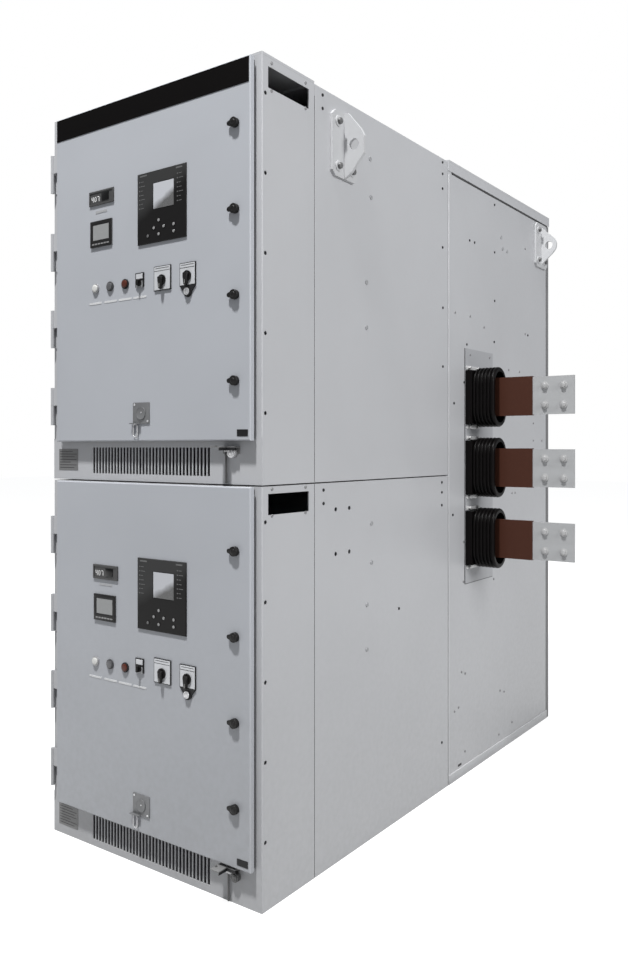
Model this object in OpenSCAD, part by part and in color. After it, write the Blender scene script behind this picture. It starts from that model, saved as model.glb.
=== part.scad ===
// Two-high metal-clad switchgear section, seen from the front with its bus bars out to the right.
// Millimetres. X runs across the front, Y from the front to the rear, Z up from the floor.
// The origin is on the floor, at the middle of the footprint.

/* [Cabinet] */
// Width over the side sheets
width = 914.4; // [800:1:1100]
// Depth from the front frame to the rear covers
depth = 2190; // [2000:1:2400]
// Height over the roof
height = 2413; // [2380:1:2500]
// Depth of the front section, up to the seam with the rear section
front_depth = 1132; // [1050:1:1250]
// Depth of the wireway frame at the very front
frame_depth = 251; // [235:1:300]
// Height of the lower front module
lower_h = 1194; // [1190:1:1200]
// Height from the lower module's fittings to the upper module's fittings
module_pitch = 1206.5; // [1200:0.5:1210]
// Dark gap between the two front modules
module_gap = 4; // [2:0.5:6]
// Steel sheet of the sides, floors and roof
sheet = 3; // [2:0.5:4]
// Width of the flanges where sheets meet
flange_w = 25; // [15:1:35]
// Outer radius of a sheet's bend
bend_r = 3; // [2:0.5:5]
// Drop of the cell roof below the wireway roof
roof_step = 8; // [4:1:12]
// Height of the rear roof's skirt
skirt_h = 42; // [30:1:60]
// Depth of the rear covers' returns
cover_return = 20; // [12:1:30]
// Gap round the rear covers
cover_gap = 2; // [1:0.5:4]

/* [Front frame] */
// Width of the frame's flange on the hinge side
left_flange = 70; // [60:1:90]
// Width of the frame's flange on the latch side
right_flange = 43; // [35:1:60]
// Height of the header above a doorway
header_h = 30; // [28:1:45]
// Height of the vent panel below a door
vent_h = 135; // [120:1:145]
// Number of slots in a vent panel
slot_count = 36; // [20:1:40]
// Width of a slot
slot_w = 9.5; // [4:0.5:11]
// Height of a slot
slot_h = 84; // [50:1:95]
// Distance from slot to slot
slot_pitch = 14.5; // [12:0.1:16]
// Height of the slots' lower ends above the panel's lower edge
slot_z = 22; // [15:1:35]
// Sideways place of the middle of the slots
slot_x = 2; // [-30:1:30]
// Length of a wireway opening along the side
wireway_w = 194; // [120:1:200]
// Height of a wireway opening
wireway_h = 60; // [40:1:80]
// Distance of the wireway opening from the front
wireway_y = 27; // [20:1:35]
// Height of the wireway opening's lower edge in the lower module
wireway_z = 1113; // [1000:1:1115]

/* [Doors] */
// Width of a door
door_w = 846; // [820:1:852]
// Height of a door
door_h = 1076; // [1000:1:1080]
// Distance of the door's hinge edge from the left side
door_inset = 48; // [45:1:55]
// Height of the lower door's bottom edge
door_z = 117; // [110:1:130]
// Depth of a door pan
door_pan = 17; // [12:1:30]
// Steel sheet of a door
door_sheet = 2.5; // [1.5:0.5:4]
// Outer bend radius of a door's edges
door_bend = 4; // [3:0.5:8]
// Width of the lip turned in at the back of a door
door_lip = 20; // [12:1:30]
// Thickness of the rubber seal behind a door
seal_t = 10; // [6:1:14]
// Width of the rubber seal
seal_w = 12; // [8:1:18]
// Distance from the door's edge to the seal
seal_inset = 6; // [4:1:10]
// Height of the black band on the upper door
band_h = 71; // [50:1:90]
// Distance from the door's top edge to the band
band_top = 4; // [4:1:12]
// Thickness of the band
band_t = 1.5; // [1:0.5:3]

/* [Hinges] */
// Radius of a hinge barrel
barrel_r = 6.5; // [5:0.5:9]
// Radius of a hinge pin
hinge_pin_r = 3; // [2:0.5:4]
// Length of the door's half of a barrel
door_barrel = 60; // [40:1:64]
// Length of the frame's half of a barrel
frame_barrel = 66; // [40:1:70]
// Thickness of a hinge leaf
leaf_t = 3; // [2:0.5:4]
// Heights of the lower door's four hinges
hinge_z = [226, 488, 748, 1012];
// How much higher the upper door's hinges sit on their door
hinge_rise = 13; // [0:1:16]
// Distance of the hinge pins from the cabinet's left side
hinge_inset = 9; // [8:0.5:14]
// Distance of the hinge pins in front of the frame
hinge_out = 13; // [12:0.5:18]

/* [Latch knobs] */
// Distance of the knobs from the door's latch edge
knob_inset = 53; // [40:1:70]
// Heights of the lower door's four knobs
knob_z = [286, 528, 770, 1012];
// Radius of a knob's hub
knob_r = 14; // [10:0.5:18]
// Reach of a knob in front of the door
knob_h = 14; // [10:1:30]
// Length of a knob's wing from the hub's middle
knob_wing = 25; // [20:1:36]
// Radius of the wing's round tip
knob_tip_r = 5; // [3:0.5:8]
// Gap between the wing and the door
knob_lift = 4; // [3:1:6]
// Radius of the boss on the end of a knob
knob_boss_r = 8; // [4:0.5:12]
// Height of the boss on the end of a knob
knob_boss_t = 2; // [1:1:6]
// Radius of the wing's round root
knob_root_r = 12; // [8:0.5:13]
// Drop of the wing's face below the hub's face
knob_crown = 2; // [1:0.5:4]
// Radius of a knob's or switch's shaft
knob_shaft_r = 5; // [3:0.5:7]
// Length of a shaft behind the door's sheet
shaft_end = 2; // [1:0.5:5]

/* [Relays] */
// Width of a relay's bezel
relay_w = 206; // [180:1:230]
// Height of a relay's bezel
relay_h = 218; // [200:1:250]
// Depth of a relay's bezel
relay_t = 5; // [4:1:25]
// Sideways place of a relay's left edge
relay_x = -12; // [-30:1:0]
// Heights of the relays' lower edges above their doors, lower and upper
relay_z = [630, 602];
// Distance of the screen from the bezel's left edge
screen_x = 68; // [40:1:90]
// Height of the screen above the bezel's lower edge
screen_z = 100; // [90:1:112]
// Width of a relay's screen
screen_w = 89; // [60:1:110]
// Height of a relay's screen
screen_h = 81; // [60:1:100]
// Depth of the screen's recess
screen_deep = 2; // [1:0.5:4]
// Radius of a relay's key
key_r = 6; // [4:0.5:8]
// Height of a key above the bezel
key_out = 1; // [0.5:0.5:4]
// Distance of the round of four keys from the bezel's left edge
key_ring_x = 94; // [70:1:110]
// Height of the middle of that round above the bezel's lower edge
key_ring_z = 44; // [40:1:60]
// Radius of the round of four keys
key_ring_r = 21; // [16:1:28]
// Distance of the pair of keys to the right of the round's middle
key_pair_x = 63; // [36:1:70]
// Distance of the single key to the left of the round's middle
key_single_x = 47; // [36:1:60]
// Radius of the front edges of a bezel
bezel_r = 2; // [1:0.5:3]
// Margin between a bezel's edge and the case behind it
case_margin = 14; // [8:1:24]
// Depth of a relay's case behind the door
relay_case = 120; // [60:1:160]
// Depth of a meter's and a display's case behind the door
meter_case = 60; // [40:1:100]

/* [Meters and displays] */
// Width of a meter
meter_w = 116; // [90:1:125]
// Height of a meter
meter_h = 46; // [36:1:60]
// Sideways places of the meters' left edges, lower and upper
meter_x = [-220, -239];
// Heights of the meters' lower edges above their doors, lower and upper
meter_z = [766, 758];
// Width of a display
display_w = 101; // [80:1:110]
// Height of a display
display_h = 84; // [70:1:96]
// Sideways places of the displays' left edges, lower and upper
display_x = [-215, -232];
// Heights of the displays' lower edges above their doors, lower and upper
display_z = [634, 623];
// Depth of the meters' and displays' bezels
meter_t = 5; // [4:1:20]
// Width of a meter's bezel round its window
bezel_w = 6; // [4:1:10]
// Width of a display's bezel beside and above its window
display_rim = 12; // [6:1:16]
// Height of a display's bezel below its window
display_foot = 21; // [12:1:26]

/* [Buttons and switches] */
// Sideways places of the three push buttons
button_x = [-209, -140, -70];
// Heights of the buttons above their doors, lower and upper
button_z = [500, 491];
// Radius of a button's collar
button_collar_r = 14; // [12:0.5:18]
// Radius of a button's cap
button_cap_r = 10.5; // [8:0.5:11.5]
// Depth of a button's collar
button_collar_t = 3.5; // [3:0.5:10]
// Depth of a button's cap beyond its collar
button_cap_t = 3; // [2:0.5:12]
// Width of the contact block behind a button
button_block_w = 28; // [20:1:36]
// Depth of a contact block behind the door
block_t = 50; // [30:1:80]
// Width of the contact block behind a switch
switch_block_w = 44; // [30:1:60]
// Sideways place of the selector switch
selector_x = -4; // [-20:1:10]
// Width of the selector's plate
selector_w = 36; // [28:1:44]
// Height of the selector's plate
selector_h = 44; // [38:1:54]
// Height of the middle of that plate above the selector's knob
selector_rise = 9; // [0:1:10]
// Heights of the selectors above their doors, lower and upper
selector_z = [507, 487];
// Sideways places of the two control switches
control_x = [95, 200];
// Heights of the control switches above their doors, lower and upper
control_z = [507, 485];
// Widths of the two control switches' plates
control_w = [71, 64];
// Heights of the two control switches' plates
control_h = [74, 68];
// Height of the middle of those plates above the switches' grips
control_rise = 6; // [0:1:12]
// Thickness of the switch plates
plate_t = 4; // [2:0.5:6]
// Radius of a control switch's grip base
grip_r = 16; // [14:0.5:24]
// Depth of a control switch's grip base
grip_base_t = 5; // [4:0.5:20]
// Length of a control switch's grip below its middle
grip_l = 29; // [22:1:34]
// Radius of the grip's upper end
grip_head_r = 10; // [8:0.5:13]
// Radius of the grip's lower end
grip_tip_r = 5.5; // [4:0.5:8]
// Depth of a control switch's grip
grip_t = 9; // [6:1:34]
// Drop of the pointed key plate below the second control switch
key_plate_h = 34; // [32:1:44]
// Radius of the key lock below the second control switch
key_lock_r = 11; // [8:0.5:14]
// Rim of the key plate round that lock
key_rim = 5; // [1:0.5:6]
// Radius of a selector's knob
selector_r = 11; // [8:0.5:16]
// Width of a selector's bar
selector_bar_w = 6; // [4:0.5:10]
// Depth of a selector's bar
selector_bar_t = 4; // [3:1:14]

/* [Ports] */
// Width of a port's plate
port_w = 73; // [60:1:80]
// Height of a port's plate
port_h = 66; // [60:1:80]
// Sideways place of the ports' middle
port_x = 2; // [-20:1:20]
// Heights of the ports' middles above their doors, lower and upper
port_z = [87, 86];
// Radius of a port's disc
port_r = 20; // [14:1:26]
// Thickness of a port's plate, and of the disc on it
port_t = 3; // [2:0.5:6]
// Reach of the lip at a port's lower left corner
port_lip = 12; // [6:1:18]
// Width of the lip
lip_w = 42; // [30:1:50]
// Distance of the lip's left end beyond the plate
lip_past = 7; // [0:1:10]
// Width of the link that hangs from a port
link_w = 22; // [16:1:28]
// Length of the link that hangs from a port
link_l = 46; // [36:1:50]
// Thickness of the link's bar
link_bar = 5; // [3:0.5:7]

/* [Lifting lugs] */
// Width of a lug's base along the side
lug_base_w = 140; // [120:1:160]
// Height of a lug's base
lug_base_h = 206; // [190:1:220]
// Thickness of a lug's base
lug_base_t = 10; // [8:1:14]
// Cut at each corner of a lug's base
lug_chamfer = 16; // [8:1:24]
// Thickness of a lug's fin
lug_fin_t = 12; // [10:1:16]
// Reach of a lug's fin beyond the side
lug_reach = 83; // [70:1:90]
// Flat shoulder at the upper end of a front lug's fin
fin_shoulder = 14; // [6:1:20]
// Slope from the outer corners of a front lug's fin back to its nose
fin_nose = 12; // [6:1:20]
// Height of the upper slope's end above the eye
fin_upper = 45; // [40:1:60]
// Height of the nose's upper corner above the eye
fin_nose_up = 22; // [15:1:30]
// Depth of the nose's lower corner below the eye
fin_nose_down = 33; // [25:1:40]
// Reach of the foot at the lower end of a front lug's fin
fin_foot = 25; // [10:1:30]
// Depth of that foot below the eye
fin_foot_down = 87; // [80:1:90]
// Radius of the lifting eyes
eye_r = 18; // [14:0.5:20]
// Distance of the lifting eyes from the side
eye_out = 47; // [44:1:50]
// Depth of the lugs' middles below the roof
lug_drop = 158; // [157:1:220]
// Distance of the front lugs' middle from the front
front_lug_y = 403; // [370:1:430]
// Distance of the rear lugs' middle from the front
rear_lug_y = 2075; // [1900:1:2080]
// Radius of a rear lug's round end
rear_lug_r = 48; // [40:1:50]
// Height of a rear lug's fin at its root
rear_fin_h = 176; // [150:1:190]
// Turn from the arc's end to the level where it meets the fin's flanks
arc_turn = 40; // [20:1:60]

/* [Bus bars] */
// Distance of the bus bars from the front
bus_y = 1340; // [1300:1:1400]
// Heights of the three bus bars
bus_z = [943, 1224, 1504];
// Height of a bar
bar_h = 146; // [100:1:160]
// Thickness of a bar
bar_t = 10; // [6:1:14]
// Thickness of the moulded sleeve on a bar
sleeve_t = 3; // [2:0.5:5]
// Reach of a bar beyond the side
bar_reach = 422; // [380:1:450]
// Reach of the moulded sleeve beyond the side
sleeve_reach = 259; // [200:1:280]
// Distance between the bolt holes in a bar's end
bolt_pitch = 74; // [50:1:90]
// Distance of the bolt holes' middle from the bar's end
bolt_end = 78; // [60:1:84]
// Radius of the bolt holes in a bar's end
bolt_hole_r = 7; // [5:0.5:9]
// Width of a bushing along the side
boot_w = 130; // [110:1:150]
// Height of a bushing
boot_h = 238; // [210:1:250]
// Height of a bushing's flange block
boot_base_h = 214; // [180:1:216]
// Depth of a bushing's flange block
boot_base_t = 29; // [20:1:40]
// Depth of a bushing's ribbed part
boot_ribbed = 91; // [70:1:100]
// Number of ribs
rib_count = 6; // [4:1:7]
// Height of a rib above the groove
rib_deep = 7; // [4:1:9]
// Radius of a rib's round edge
rib_r = 4.5; // [3:0.5:6]
// Radius of the lip round a bushing's mouth
lip_r = 8; // [6:0.5:10]
// Wall of a bushing
boot_wall = 10; // [8:1:14]
// Depth of a bushing's mouth
boot_mouth = 60; // [40:1:80]
// Width of the plate behind the bushings
bus_plate_w = 260; // [200:1:280]
// Height of the plate behind the bushings
bus_plate_h = 940; // [900:1:960]
// Distance of the plate's front edge from the front
bus_plate_y = 1275; // [1250:1:1280]
// Height of the plate's lower edge
bus_plate_z = 760; // [700:1:780]

/* [Interlocks] */
// Sideways place of the interlock shelf's left edge
shelf_x = 314; // [300:1:318]
// Width of the interlock shelf
shelf_w = 63; // [55:1:70]
// Height of the shelf above its module's base
shelf_z = 106; // [90:1:108]
// Reach of the shelf in front of the panel
shelf_out = 57; // [40:1:80]
// Width of the corner cut out of the shelf at its right
notch_w = 31; // [20:1:40]
// Depth of the shelf behind that corner
notch_y = 22; // [18:1:30]
// Depth of the edges turned down at that corner
notch_fold = 8; // [4:1:12]
// Height of the shelf's flange on the panel
shelf_flange = 18; // [10:1:24]
// Radius of the rod
rod_r = 2.5; // [1.5:0.5:4]
// Sideways places of the rods, lower and upper
rod_x = [338, 329];
// Distance of the rod in front of the panel
rod_out = 6; // [6:0.5:40]
// Length of the rod below the shelf
rod_l = 102; // [60:1:103]
// Sideways places of the key locks, lower and upper
lock_x = [367, 354];
// Depths of the key locks' middles below the shelf, lower and upper
lock_drop = [24, 15];
// Radius of the key lock
lock_r = 14; // [10:0.5:15]
// Reach of the key lock in front of the shelf's flange
lock_out = 12; // [8:1:25]

/* [Joining holes] */
// Distance of the front joining holes from the front
join_y = 15; // [12:1:20]
// Distance between the front joining holes
join_pitch = 225; // [200:1:230]
// Height of the lower module's lowest joining hole
join_z = 194; // [150:1:200]
// Radius of a joining hole
join_r = 6; // [4:0.5:8]
// Distance of the spare lug holes' middle from the front
spare_y = 403; // [390:1:430]
// Height of the spare lug holes' middle
spare_z = 1040; // [1000:1:1045]
// Distance between the spare lug holes along the side
spare_w = 77; // [60:1:90]
// Height between the spare lug holes
spare_h = 140; // [120:1:150]
// Radius of a spare lug hole
spare_r = 7; // [5:0.5:9]

/* [Fits] */
// Gap between a turning piece and the piece that it turns on
run_gap = 0.3; // [0.2:0.05:0.5]
// Radial clearance of a pin in its bore
pin_gap = 0.08; // [0.05:0.01:0.1]
// Amount that a cutting shape runs past a face
over = 1; // [0.5:0.5:2]

/* [Hidden] */
$fn = 48;
LOWER = 0;
UPPER = 1;
RIGHT = 1;
LEFT = -1;
side_x = width / 2;
upper_z = lower_h + module_gap;
cell_top = height - roof_step;
door_x = -side_x + door_inset;
hinge_x = -side_x + hinge_inset;
pin_bore_r = hinge_pin_r + pin_gap;
door_face = door_pan + seal_t + run_gap;
door_back = door_face - door_pan;
rear_top = height - skirt_h;
rear_end = depth - cover_return;
rear_upper_h = height - upper_z;
boot_reach = boot_base_t + boot_ribbed;
shaft_bore_r = knob_shaft_r + pin_gap;
lug_z = height - lug_drop;
rib_pitch = boot_ribbed / rib_count;
sheet_grey = [0.78, 0.79, 0.82];
door_grey = [0.72, 0.73, 0.76];
black = [0.06, 0.06, 0.07];
steel = [0.75, 0.76, 0.77];
copper_brown = [0.33, 0.16, 0.11];

function base_z(m) = m * upper_z;
function door_bottom(m) = door_z + m * module_pitch;
function module_top(m) = m == LOWER ? lower_h : height;
function join_heights(m) = [for (i = [0:4]) m * module_pitch + join_z + i * join_pitch];

// Everything is drawn from the front frame's plane, and this puts the origin at mid-depth.
module placed() { translate([0, -depth / 2, 0]) children(); }

// A box from its lowest corner, for flat sheets.
module slab(x, y, z, w, d, h) { translate([x, y, z]) cube([w, d, h]); }

// A round bar or hole along the Y axis, starting at y and running to the rear.
module along_y(x, y, z, r, l) { translate([x, y, z]) rotate([-90, 0, 0]) cylinder(r = r, h = l); }

// A round bar or hole along the X axis.
module along_x(x, y, z, r, l) { translate([x, y, z]) rotate([0, 90, 0]) cylinder(r = r, h = l); }

// A flat bar with its two front corners bent round, drawn in a plane with the front at 0.
module bent_front(w, d, r) {
  translate([r, 0]) square([w - 2 * r, d]);
  translate([0, r]) square([w, d - r]);
  for (x = [r, w - r]) translate([x, r]) circle(r = r);
}

// A box whose four front edges are bent round, as on a folded pan.
module pan_block(w, d, h, r) {
  intersection() {
    linear_extrude(height = h) bent_front(w, d, r);
    rotate([90, 0, 90]) linear_extrude(height = w) mirror([1, 0]) rotate(90) bent_front(h, d, r);
  }
}

// Mirrors a right-hand piece to the left side.
module on_side(s) { mirror([s == LEFT ? 1 : 0, 0, 0]) children(); }

// The quarter round where a side sheet turns in at its front or back edge.
module side_bend(y, z, h, back) {
  s = back ? -1 : 1;
  translate([side_x - bend_r, y + s * bend_r, z]) intersection() {
    cylinder(r = bend_r, h = h);
    translate([0, back ? 0 : -bend_r, 0]) cube([bend_r, bend_r, h]);
  }
}

// A side sheet from y0 to y1, with a flange turned in at both ends.
module folded_side(y0, y1, z, h) {
  slab(side_x - sheet, y0 + bend_r, z, sheet, y1 - y0 - 2 * bend_r, h);
  for (y = [y0, y1 - sheet]) slab(side_x - flange_w, y, z, flange_w - bend_r, sheet, h);
  side_bend(y0, z, h, false);
  side_bend(y1, z, h, true);
}

// One folded strip of the front frame: side face, front flange, inner lip and rear flange.
module frame_strip(m, flange) {
  z0 = base_z(m);
  h = module_top(m) - z0;
  flange_z = z0 + vent_h;
  difference() {
    union() {
      slab(side_x - sheet, 0, z0, sheet, frame_depth - bend_r, h);
      translate([side_x - flange, 0, flange_z]) difference() {
        cube([flange, sheet, h - vent_h]);
        translate([flange - bend_r, 0, -over]) cube([bend_r + over, bend_r, h - vent_h + 2 * over]);
      }
      side_bend(0, flange_z, h - vent_h, false);
      slab(side_x - flange, 0, flange_z, sheet, flange_w, h - vent_h - header_h);
      slab(side_x - flange_w, frame_depth - sheet, z0, flange_w - bend_r, sheet, h);
      side_bend(frame_depth, z0, h, true);
    }
    translate([side_x - bend_r, -over, flange_z]) difference() {
      cube([bend_r + over, bend_r + over, h - vent_h + over]);
      translate([0, bend_r + over, -over]) cylinder(r = bend_r, h = h + 2 * over);
    }
  }
}

module wireway_cut(m) {
  slab(side_x - sheet - over, wireway_y, wireway_z + m * module_pitch,
       sheet + 2 * over, wireway_w, wireway_h);
}

module joining_holes(m) {
  for (z = join_heights(m)) along_x(side_x - sheet - over, join_y, z, join_r, sheet + 2 * over);
}

module right_frame_strips() color(sheet_grey) placed() {
  for (m = [LOWER, UPPER]) difference() {
    frame_strip(m, right_flange);
    wireway_cut(m);
    joining_holes(m);
  }
}

module left_frame_strips() color(sheet_grey) placed() on_side(LEFT) {
  for (m = [LOWER, UPPER]) frame_strip(m, left_flange);
}

module frame_headers() color(sheet_grey) placed() {
  for (m = [LOWER, UPPER]) {
    x0 = -side_x + left_flange;
    w = width - left_flange - right_flange;
    z1 = module_top(m);
    slab(x0, 0, z1 - header_h, w, sheet, header_h);
    slab(x0, sheet, z1 - header_h, w, flange_w - sheet, sheet);
  }
}

module vent_panel(m) {
  z0 = base_z(m);
  difference() {
    slab(-side_x + sheet, 0, z0, width - 2 * sheet, sheet, vent_h);
    for (i = [0:slot_count - 1])
      slab(slot_x + (i - (slot_count - 1) / 2) * slot_pitch - slot_w / 2, -over, z0 + slot_z,
           slot_w, sheet + 2 * over, slot_h);
  }
}
module upper_vent_panel() color(sheet_grey) placed() vent_panel(UPPER);
module lower_vent_panel() color(sheet_grey) placed() vent_panel(LOWER);

// One flanged side sheet of a breaker cell.
module cell_side(m) {
  z0 = base_z(m);
  folded_side(frame_depth, front_depth, z0, (m == LOWER ? lower_h : cell_top) - z0);
}

module right_side_sheets() color(sheet_grey) placed() {
  difference() {
    cell_side(LOWER);
    for (dy = [-0.5, 0.5], dz = [-0.5, 0.5])
      along_x(side_x - sheet - over, spare_y + dy * spare_w, spare_z + dz * spare_h,
              spare_r, sheet + 2 * over);
  }
  cell_side(UPPER);
}
module left_side_sheets() color(sheet_grey) placed() on_side(LEFT) {
  for (m = [LOWER, UPPER]) cell_side(m);
}

inner_w = width - 2 * sheet;
cell_floor_d = front_depth - 2 * sheet;

// Floors and roofs stop short of the flanges where the frame meets the cell.
module floor_sheet(z) {
  difference() {
    slab(-inner_w / 2, sheet, z, inner_w, cell_floor_d - sheet, sheet);
    for (x = [-side_x - over, side_x - flange_w])
      slab(x, frame_depth - sheet, z - over, flange_w + over, 2 * sheet, sheet + 2 * over);
  }
}
module front_floor() color(sheet_grey) placed() floor_sheet(0);
module middle_deck() color(sheet_grey) placed() {
  floor_sheet(lower_h - sheet);
  floor_sheet(upper_z);
}
// The roof steps down behind the wireway, and runs through between the side sheets' flanges.
module front_roof() color(sheet_grey) placed() {
  between = width - 2 * flange_w;
  slab(-inner_w / 2, sheet, height - sheet, inner_w, frame_depth - 2 * sheet, sheet);
  slab(-between / 2, frame_depth - sheet, cell_top - sheet, between, sheet, roof_step + sheet);
  slab(-between / 2, frame_depth, cell_top - sheet, between, front_depth - frame_depth, sheet);
  slab(-inner_w / 2, frame_depth + sheet, cell_top - sheet,
       inner_w, cell_floor_d - frame_depth - sheet, sheet);
}
module middle_barrier() color(sheet_grey) placed()
  slab(-inner_w / 2, cell_floor_d, 0, inner_w, sheet, cell_top - sheet);

// The rear section's side is one flanged sheet.
module rear_right_side() color(sheet_grey) placed() folded_side(front_depth, rear_end, 0, height - sheet);
module rear_left_side() color(sheet_grey) placed() on_side(LEFT)
  folded_side(front_depth, rear_end, 0, height - sheet);

// The rear roof is a tray turned down over both sides.
module rear_roof() color(sheet_grey) placed() {
  y0 = front_depth;
  l = depth - y0;
  slab(-side_x - sheet, y0, height - sheet, width + 2 * sheet, l, sheet);
  for (s = [LEFT, RIGHT]) on_side(s) slab(side_x, y0, rear_top, sheet, l, skirt_h - sheet);
}
module rear_floor() color(sheet_grey) placed()
  slab(-inner_w / 2, front_depth + sheet, 0, inner_w, rear_end - front_depth - 2 * sheet, sheet);

// A rear cover is a shallow tray bolted over the rear flanges.
module rear_cover(z0, h) {
  translate([side_x, depth, z0]) rotate(180) difference() {
    pan_block(width, cover_return, h, bend_r);
    slab(sheet, sheet, sheet, width - 2 * sheet, cover_return, h - 2 * sheet);
  }
}
module rear_covers() color(sheet_grey) placed() {
  rear_cover(0, lower_h);
  rear_cover(upper_z, rear_top - cover_gap - upper_z);
}

// A lug's base plate, with its corners cut, standing on the side.
module lug_base() {
  a = lug_base_w / 2;
  b = lug_base_h / 2;
  c = lug_chamfer;
  rotate([90, 0, 90]) linear_extrude(height = lug_base_t)
    polygon([[-a + c, -b], [a - c, -b], [a, -b + c], [a, b - c], [a - c, b], [-a + c, b], [-a, b - c],
             [-a, -b + c]]);
}

// The outline of a front lug's fin, from the base outwards.
module front_fin(reach) {
  b = lug_base_h / 2;
  polygon([[0, -b], [0, b], [fin_shoulder, b], [reach - fin_nose, fin_upper], [reach, fin_nose_up],
           [reach, -fin_nose_down], [fin_foot, -fin_foot_down]]);
}

// The outline of a rear lug's fin, which ends in an arc and stops at the base.
module rear_fin(reach) {
  middle = reach - rear_lug_r;
  flank = middle + rear_lug_r * sin(arc_turn);
  side = rear_lug_r * cos(arc_turn);
  difference() {
    union() {
      translate([middle, 0]) circle(r = rear_lug_r);
      polygon([[0, -rear_fin_h / 2], [0, rear_fin_h / 2], [flank, side], [flank, -side]]);
    }
    translate([-2 * reach, -lug_base_h]) square([2 * reach, 2 * lug_base_h]);
  }
}
// A fin is a plate across the base, with the lifting eye near its outer edge.
module lug_fin(rounded) {
  reach = lug_reach - lug_base_t;
  translate([lug_base_t, lug_fin_t / 2, 0]) rotate([90, 0, 0])
    linear_extrude(height = lug_fin_t) difference() {
      if (rounded) rear_fin(reach);
      else front_fin(reach);
      translate([eye_out - lug_base_t, 0]) circle(r = eye_r);
    }
}
module lug(rounded) { lug_base(); lug_fin(rounded); }
module lifting_lugs() color(steel) placed() {
  for (s = [LEFT, RIGHT]) on_side(s) {
    translate([side_x, front_lug_y, lug_z]) lug(false);
    translate([side_x, rear_lug_y, lug_z]) lug(true);
  }
}

module bushing_plate() color(sheet_grey) placed()
  slab(side_x, bus_plate_y, bus_plate_z, sheet, bus_plate_w, bus_plate_h);

// An upright oval with half-round ends.
module oval(w, h) {
  square([w, h - w], center = true);
  for (z = [-1, 1]) translate([0, z * (h - w) / 2]) circle(d = w);
}

// Half of a bushing's section, from its spine out: the core, the round ribs and the lip at the mouth.
module boot_section() {
  core = boot_w / 2 - rib_deep;
  square([core, boot_reach]);
  for (i = [0:rib_count - 2]) translate([0, boot_base_t + (i + 0.5) * rib_pitch]) {
    translate([boot_w / 2 - rib_r, 0]) circle(r = rib_r);
    translate([0, -rib_r]) square([boot_w / 2 - rib_r, 2 * rib_r]);
  }
  translate([boot_w / 2 - lip_r, boot_reach - lip_r]) circle(r = lip_r);
  translate([0, boot_reach - 2 * lip_r]) square([boot_w / 2 - lip_r, 2 * lip_r]);
}

// One bushing: a flange block, a ribbed oval boot and an open mouth round the bar.
module bushing() {
  spine = boot_h - boot_w;
  rotate([90, 0, 90]) difference() {
    union() {
      translate([-boot_w / 2, -boot_base_h / 2, 0]) cube([boot_w, boot_base_h, boot_base_t]);
      for (z = [-1, 1]) translate([0, z * spine / 2, 0]) rotate_extrude() boot_section();
      for (s = [0, 1]) mirror([s, 0, 0]) translate([0, spine / 2, 0]) rotate([90, 0, 0])
        linear_extrude(height = spine) boot_section();
    }
    translate([0, 0, boot_reach - boot_mouth]) linear_extrude(height = boot_mouth + over)
      oval(boot_w - 2 * (rib_deep + boot_wall), boot_h - 2 * (rib_deep + boot_wall));
  }
}
module each_phase() {
  for (z = bus_z) translate([side_x + sheet, bus_y, z]) children();
}
module bus_bushings() color(black) placed() each_phase() bushing();
// The sleeve starts on the floor of the bushing's mouth.
module bus_sleeves() color(copper_brown) placed() each_phase() {
  x0 = boot_reach - boot_mouth;
  w = bar_t + 2 * sleeve_t;
  h = bar_h + 2 * sleeve_t;
  difference() {
    slab(x0, -w / 2, -h / 2, sleeve_reach - sheet - x0, w, h);
    slab(x0 - over, -bar_t / 2, -bar_h / 2, sleeve_reach, bar_t, bar_h);
  }
}
module bus_bars() color(steel) placed() each_phase() {
  x0 = boot_reach - boot_mouth;
  difference() {
    slab(x0, -bar_t / 2, -bar_h / 2, bar_reach - sheet - x0, bar_t, bar_h);
    for (dx = [-0.5, 0.5], dz = [-0.5, 0.5])
      along_y(bar_reach - sheet - bolt_end + dx * bolt_pitch, -bar_t / 2 - over, dz * bolt_pitch,
              bolt_hole_r, bar_t + 2 * over);
  }
}

// The frame's half of a lift-off hinge carries the pin.
module frame_hinge() {
  translate([0, 0, -frame_barrel - run_gap]) {
    cylinder(r = barrel_r, h = frame_barrel);
    slab(0, hinge_out - leaf_t, 0, flange_w, leaf_t, frame_barrel);
    slab(-leaf_t / 2, 0, 0, leaf_t, hinge_out, frame_barrel);
  }
  translate([0, 0, -run_gap - over]) cylinder(r = hinge_pin_r, h = door_barrel);
}
module door_hinge() {
  difference() {
    union() {
      cylinder(r = barrel_r, h = door_barrel);
      slab(0, -leaf_t / 2, 0, door_x - hinge_x, leaf_t, door_barrel);
    }
    translate([0, 0, -over]) cylinder(r = pin_bore_r, h = door_barrel + 2 * over);
  }
}
module each_hinge(m) {
  for (z = hinge_z) translate([hinge_x, -hinge_out, z + m * (module_pitch + hinge_rise)]) children();
}
module frame_hinges() color(sheet_grey) placed() {
  for (m = [LOWER, UPPER]) each_hinge(m) frame_hinge();
}
module lower_door_hinges() color(sheet_grey) placed() each_hinge(LOWER) door_hinge();
module upper_door_hinges() color(sheet_grey) placed() each_hinge(UPPER) door_hinge();

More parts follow.
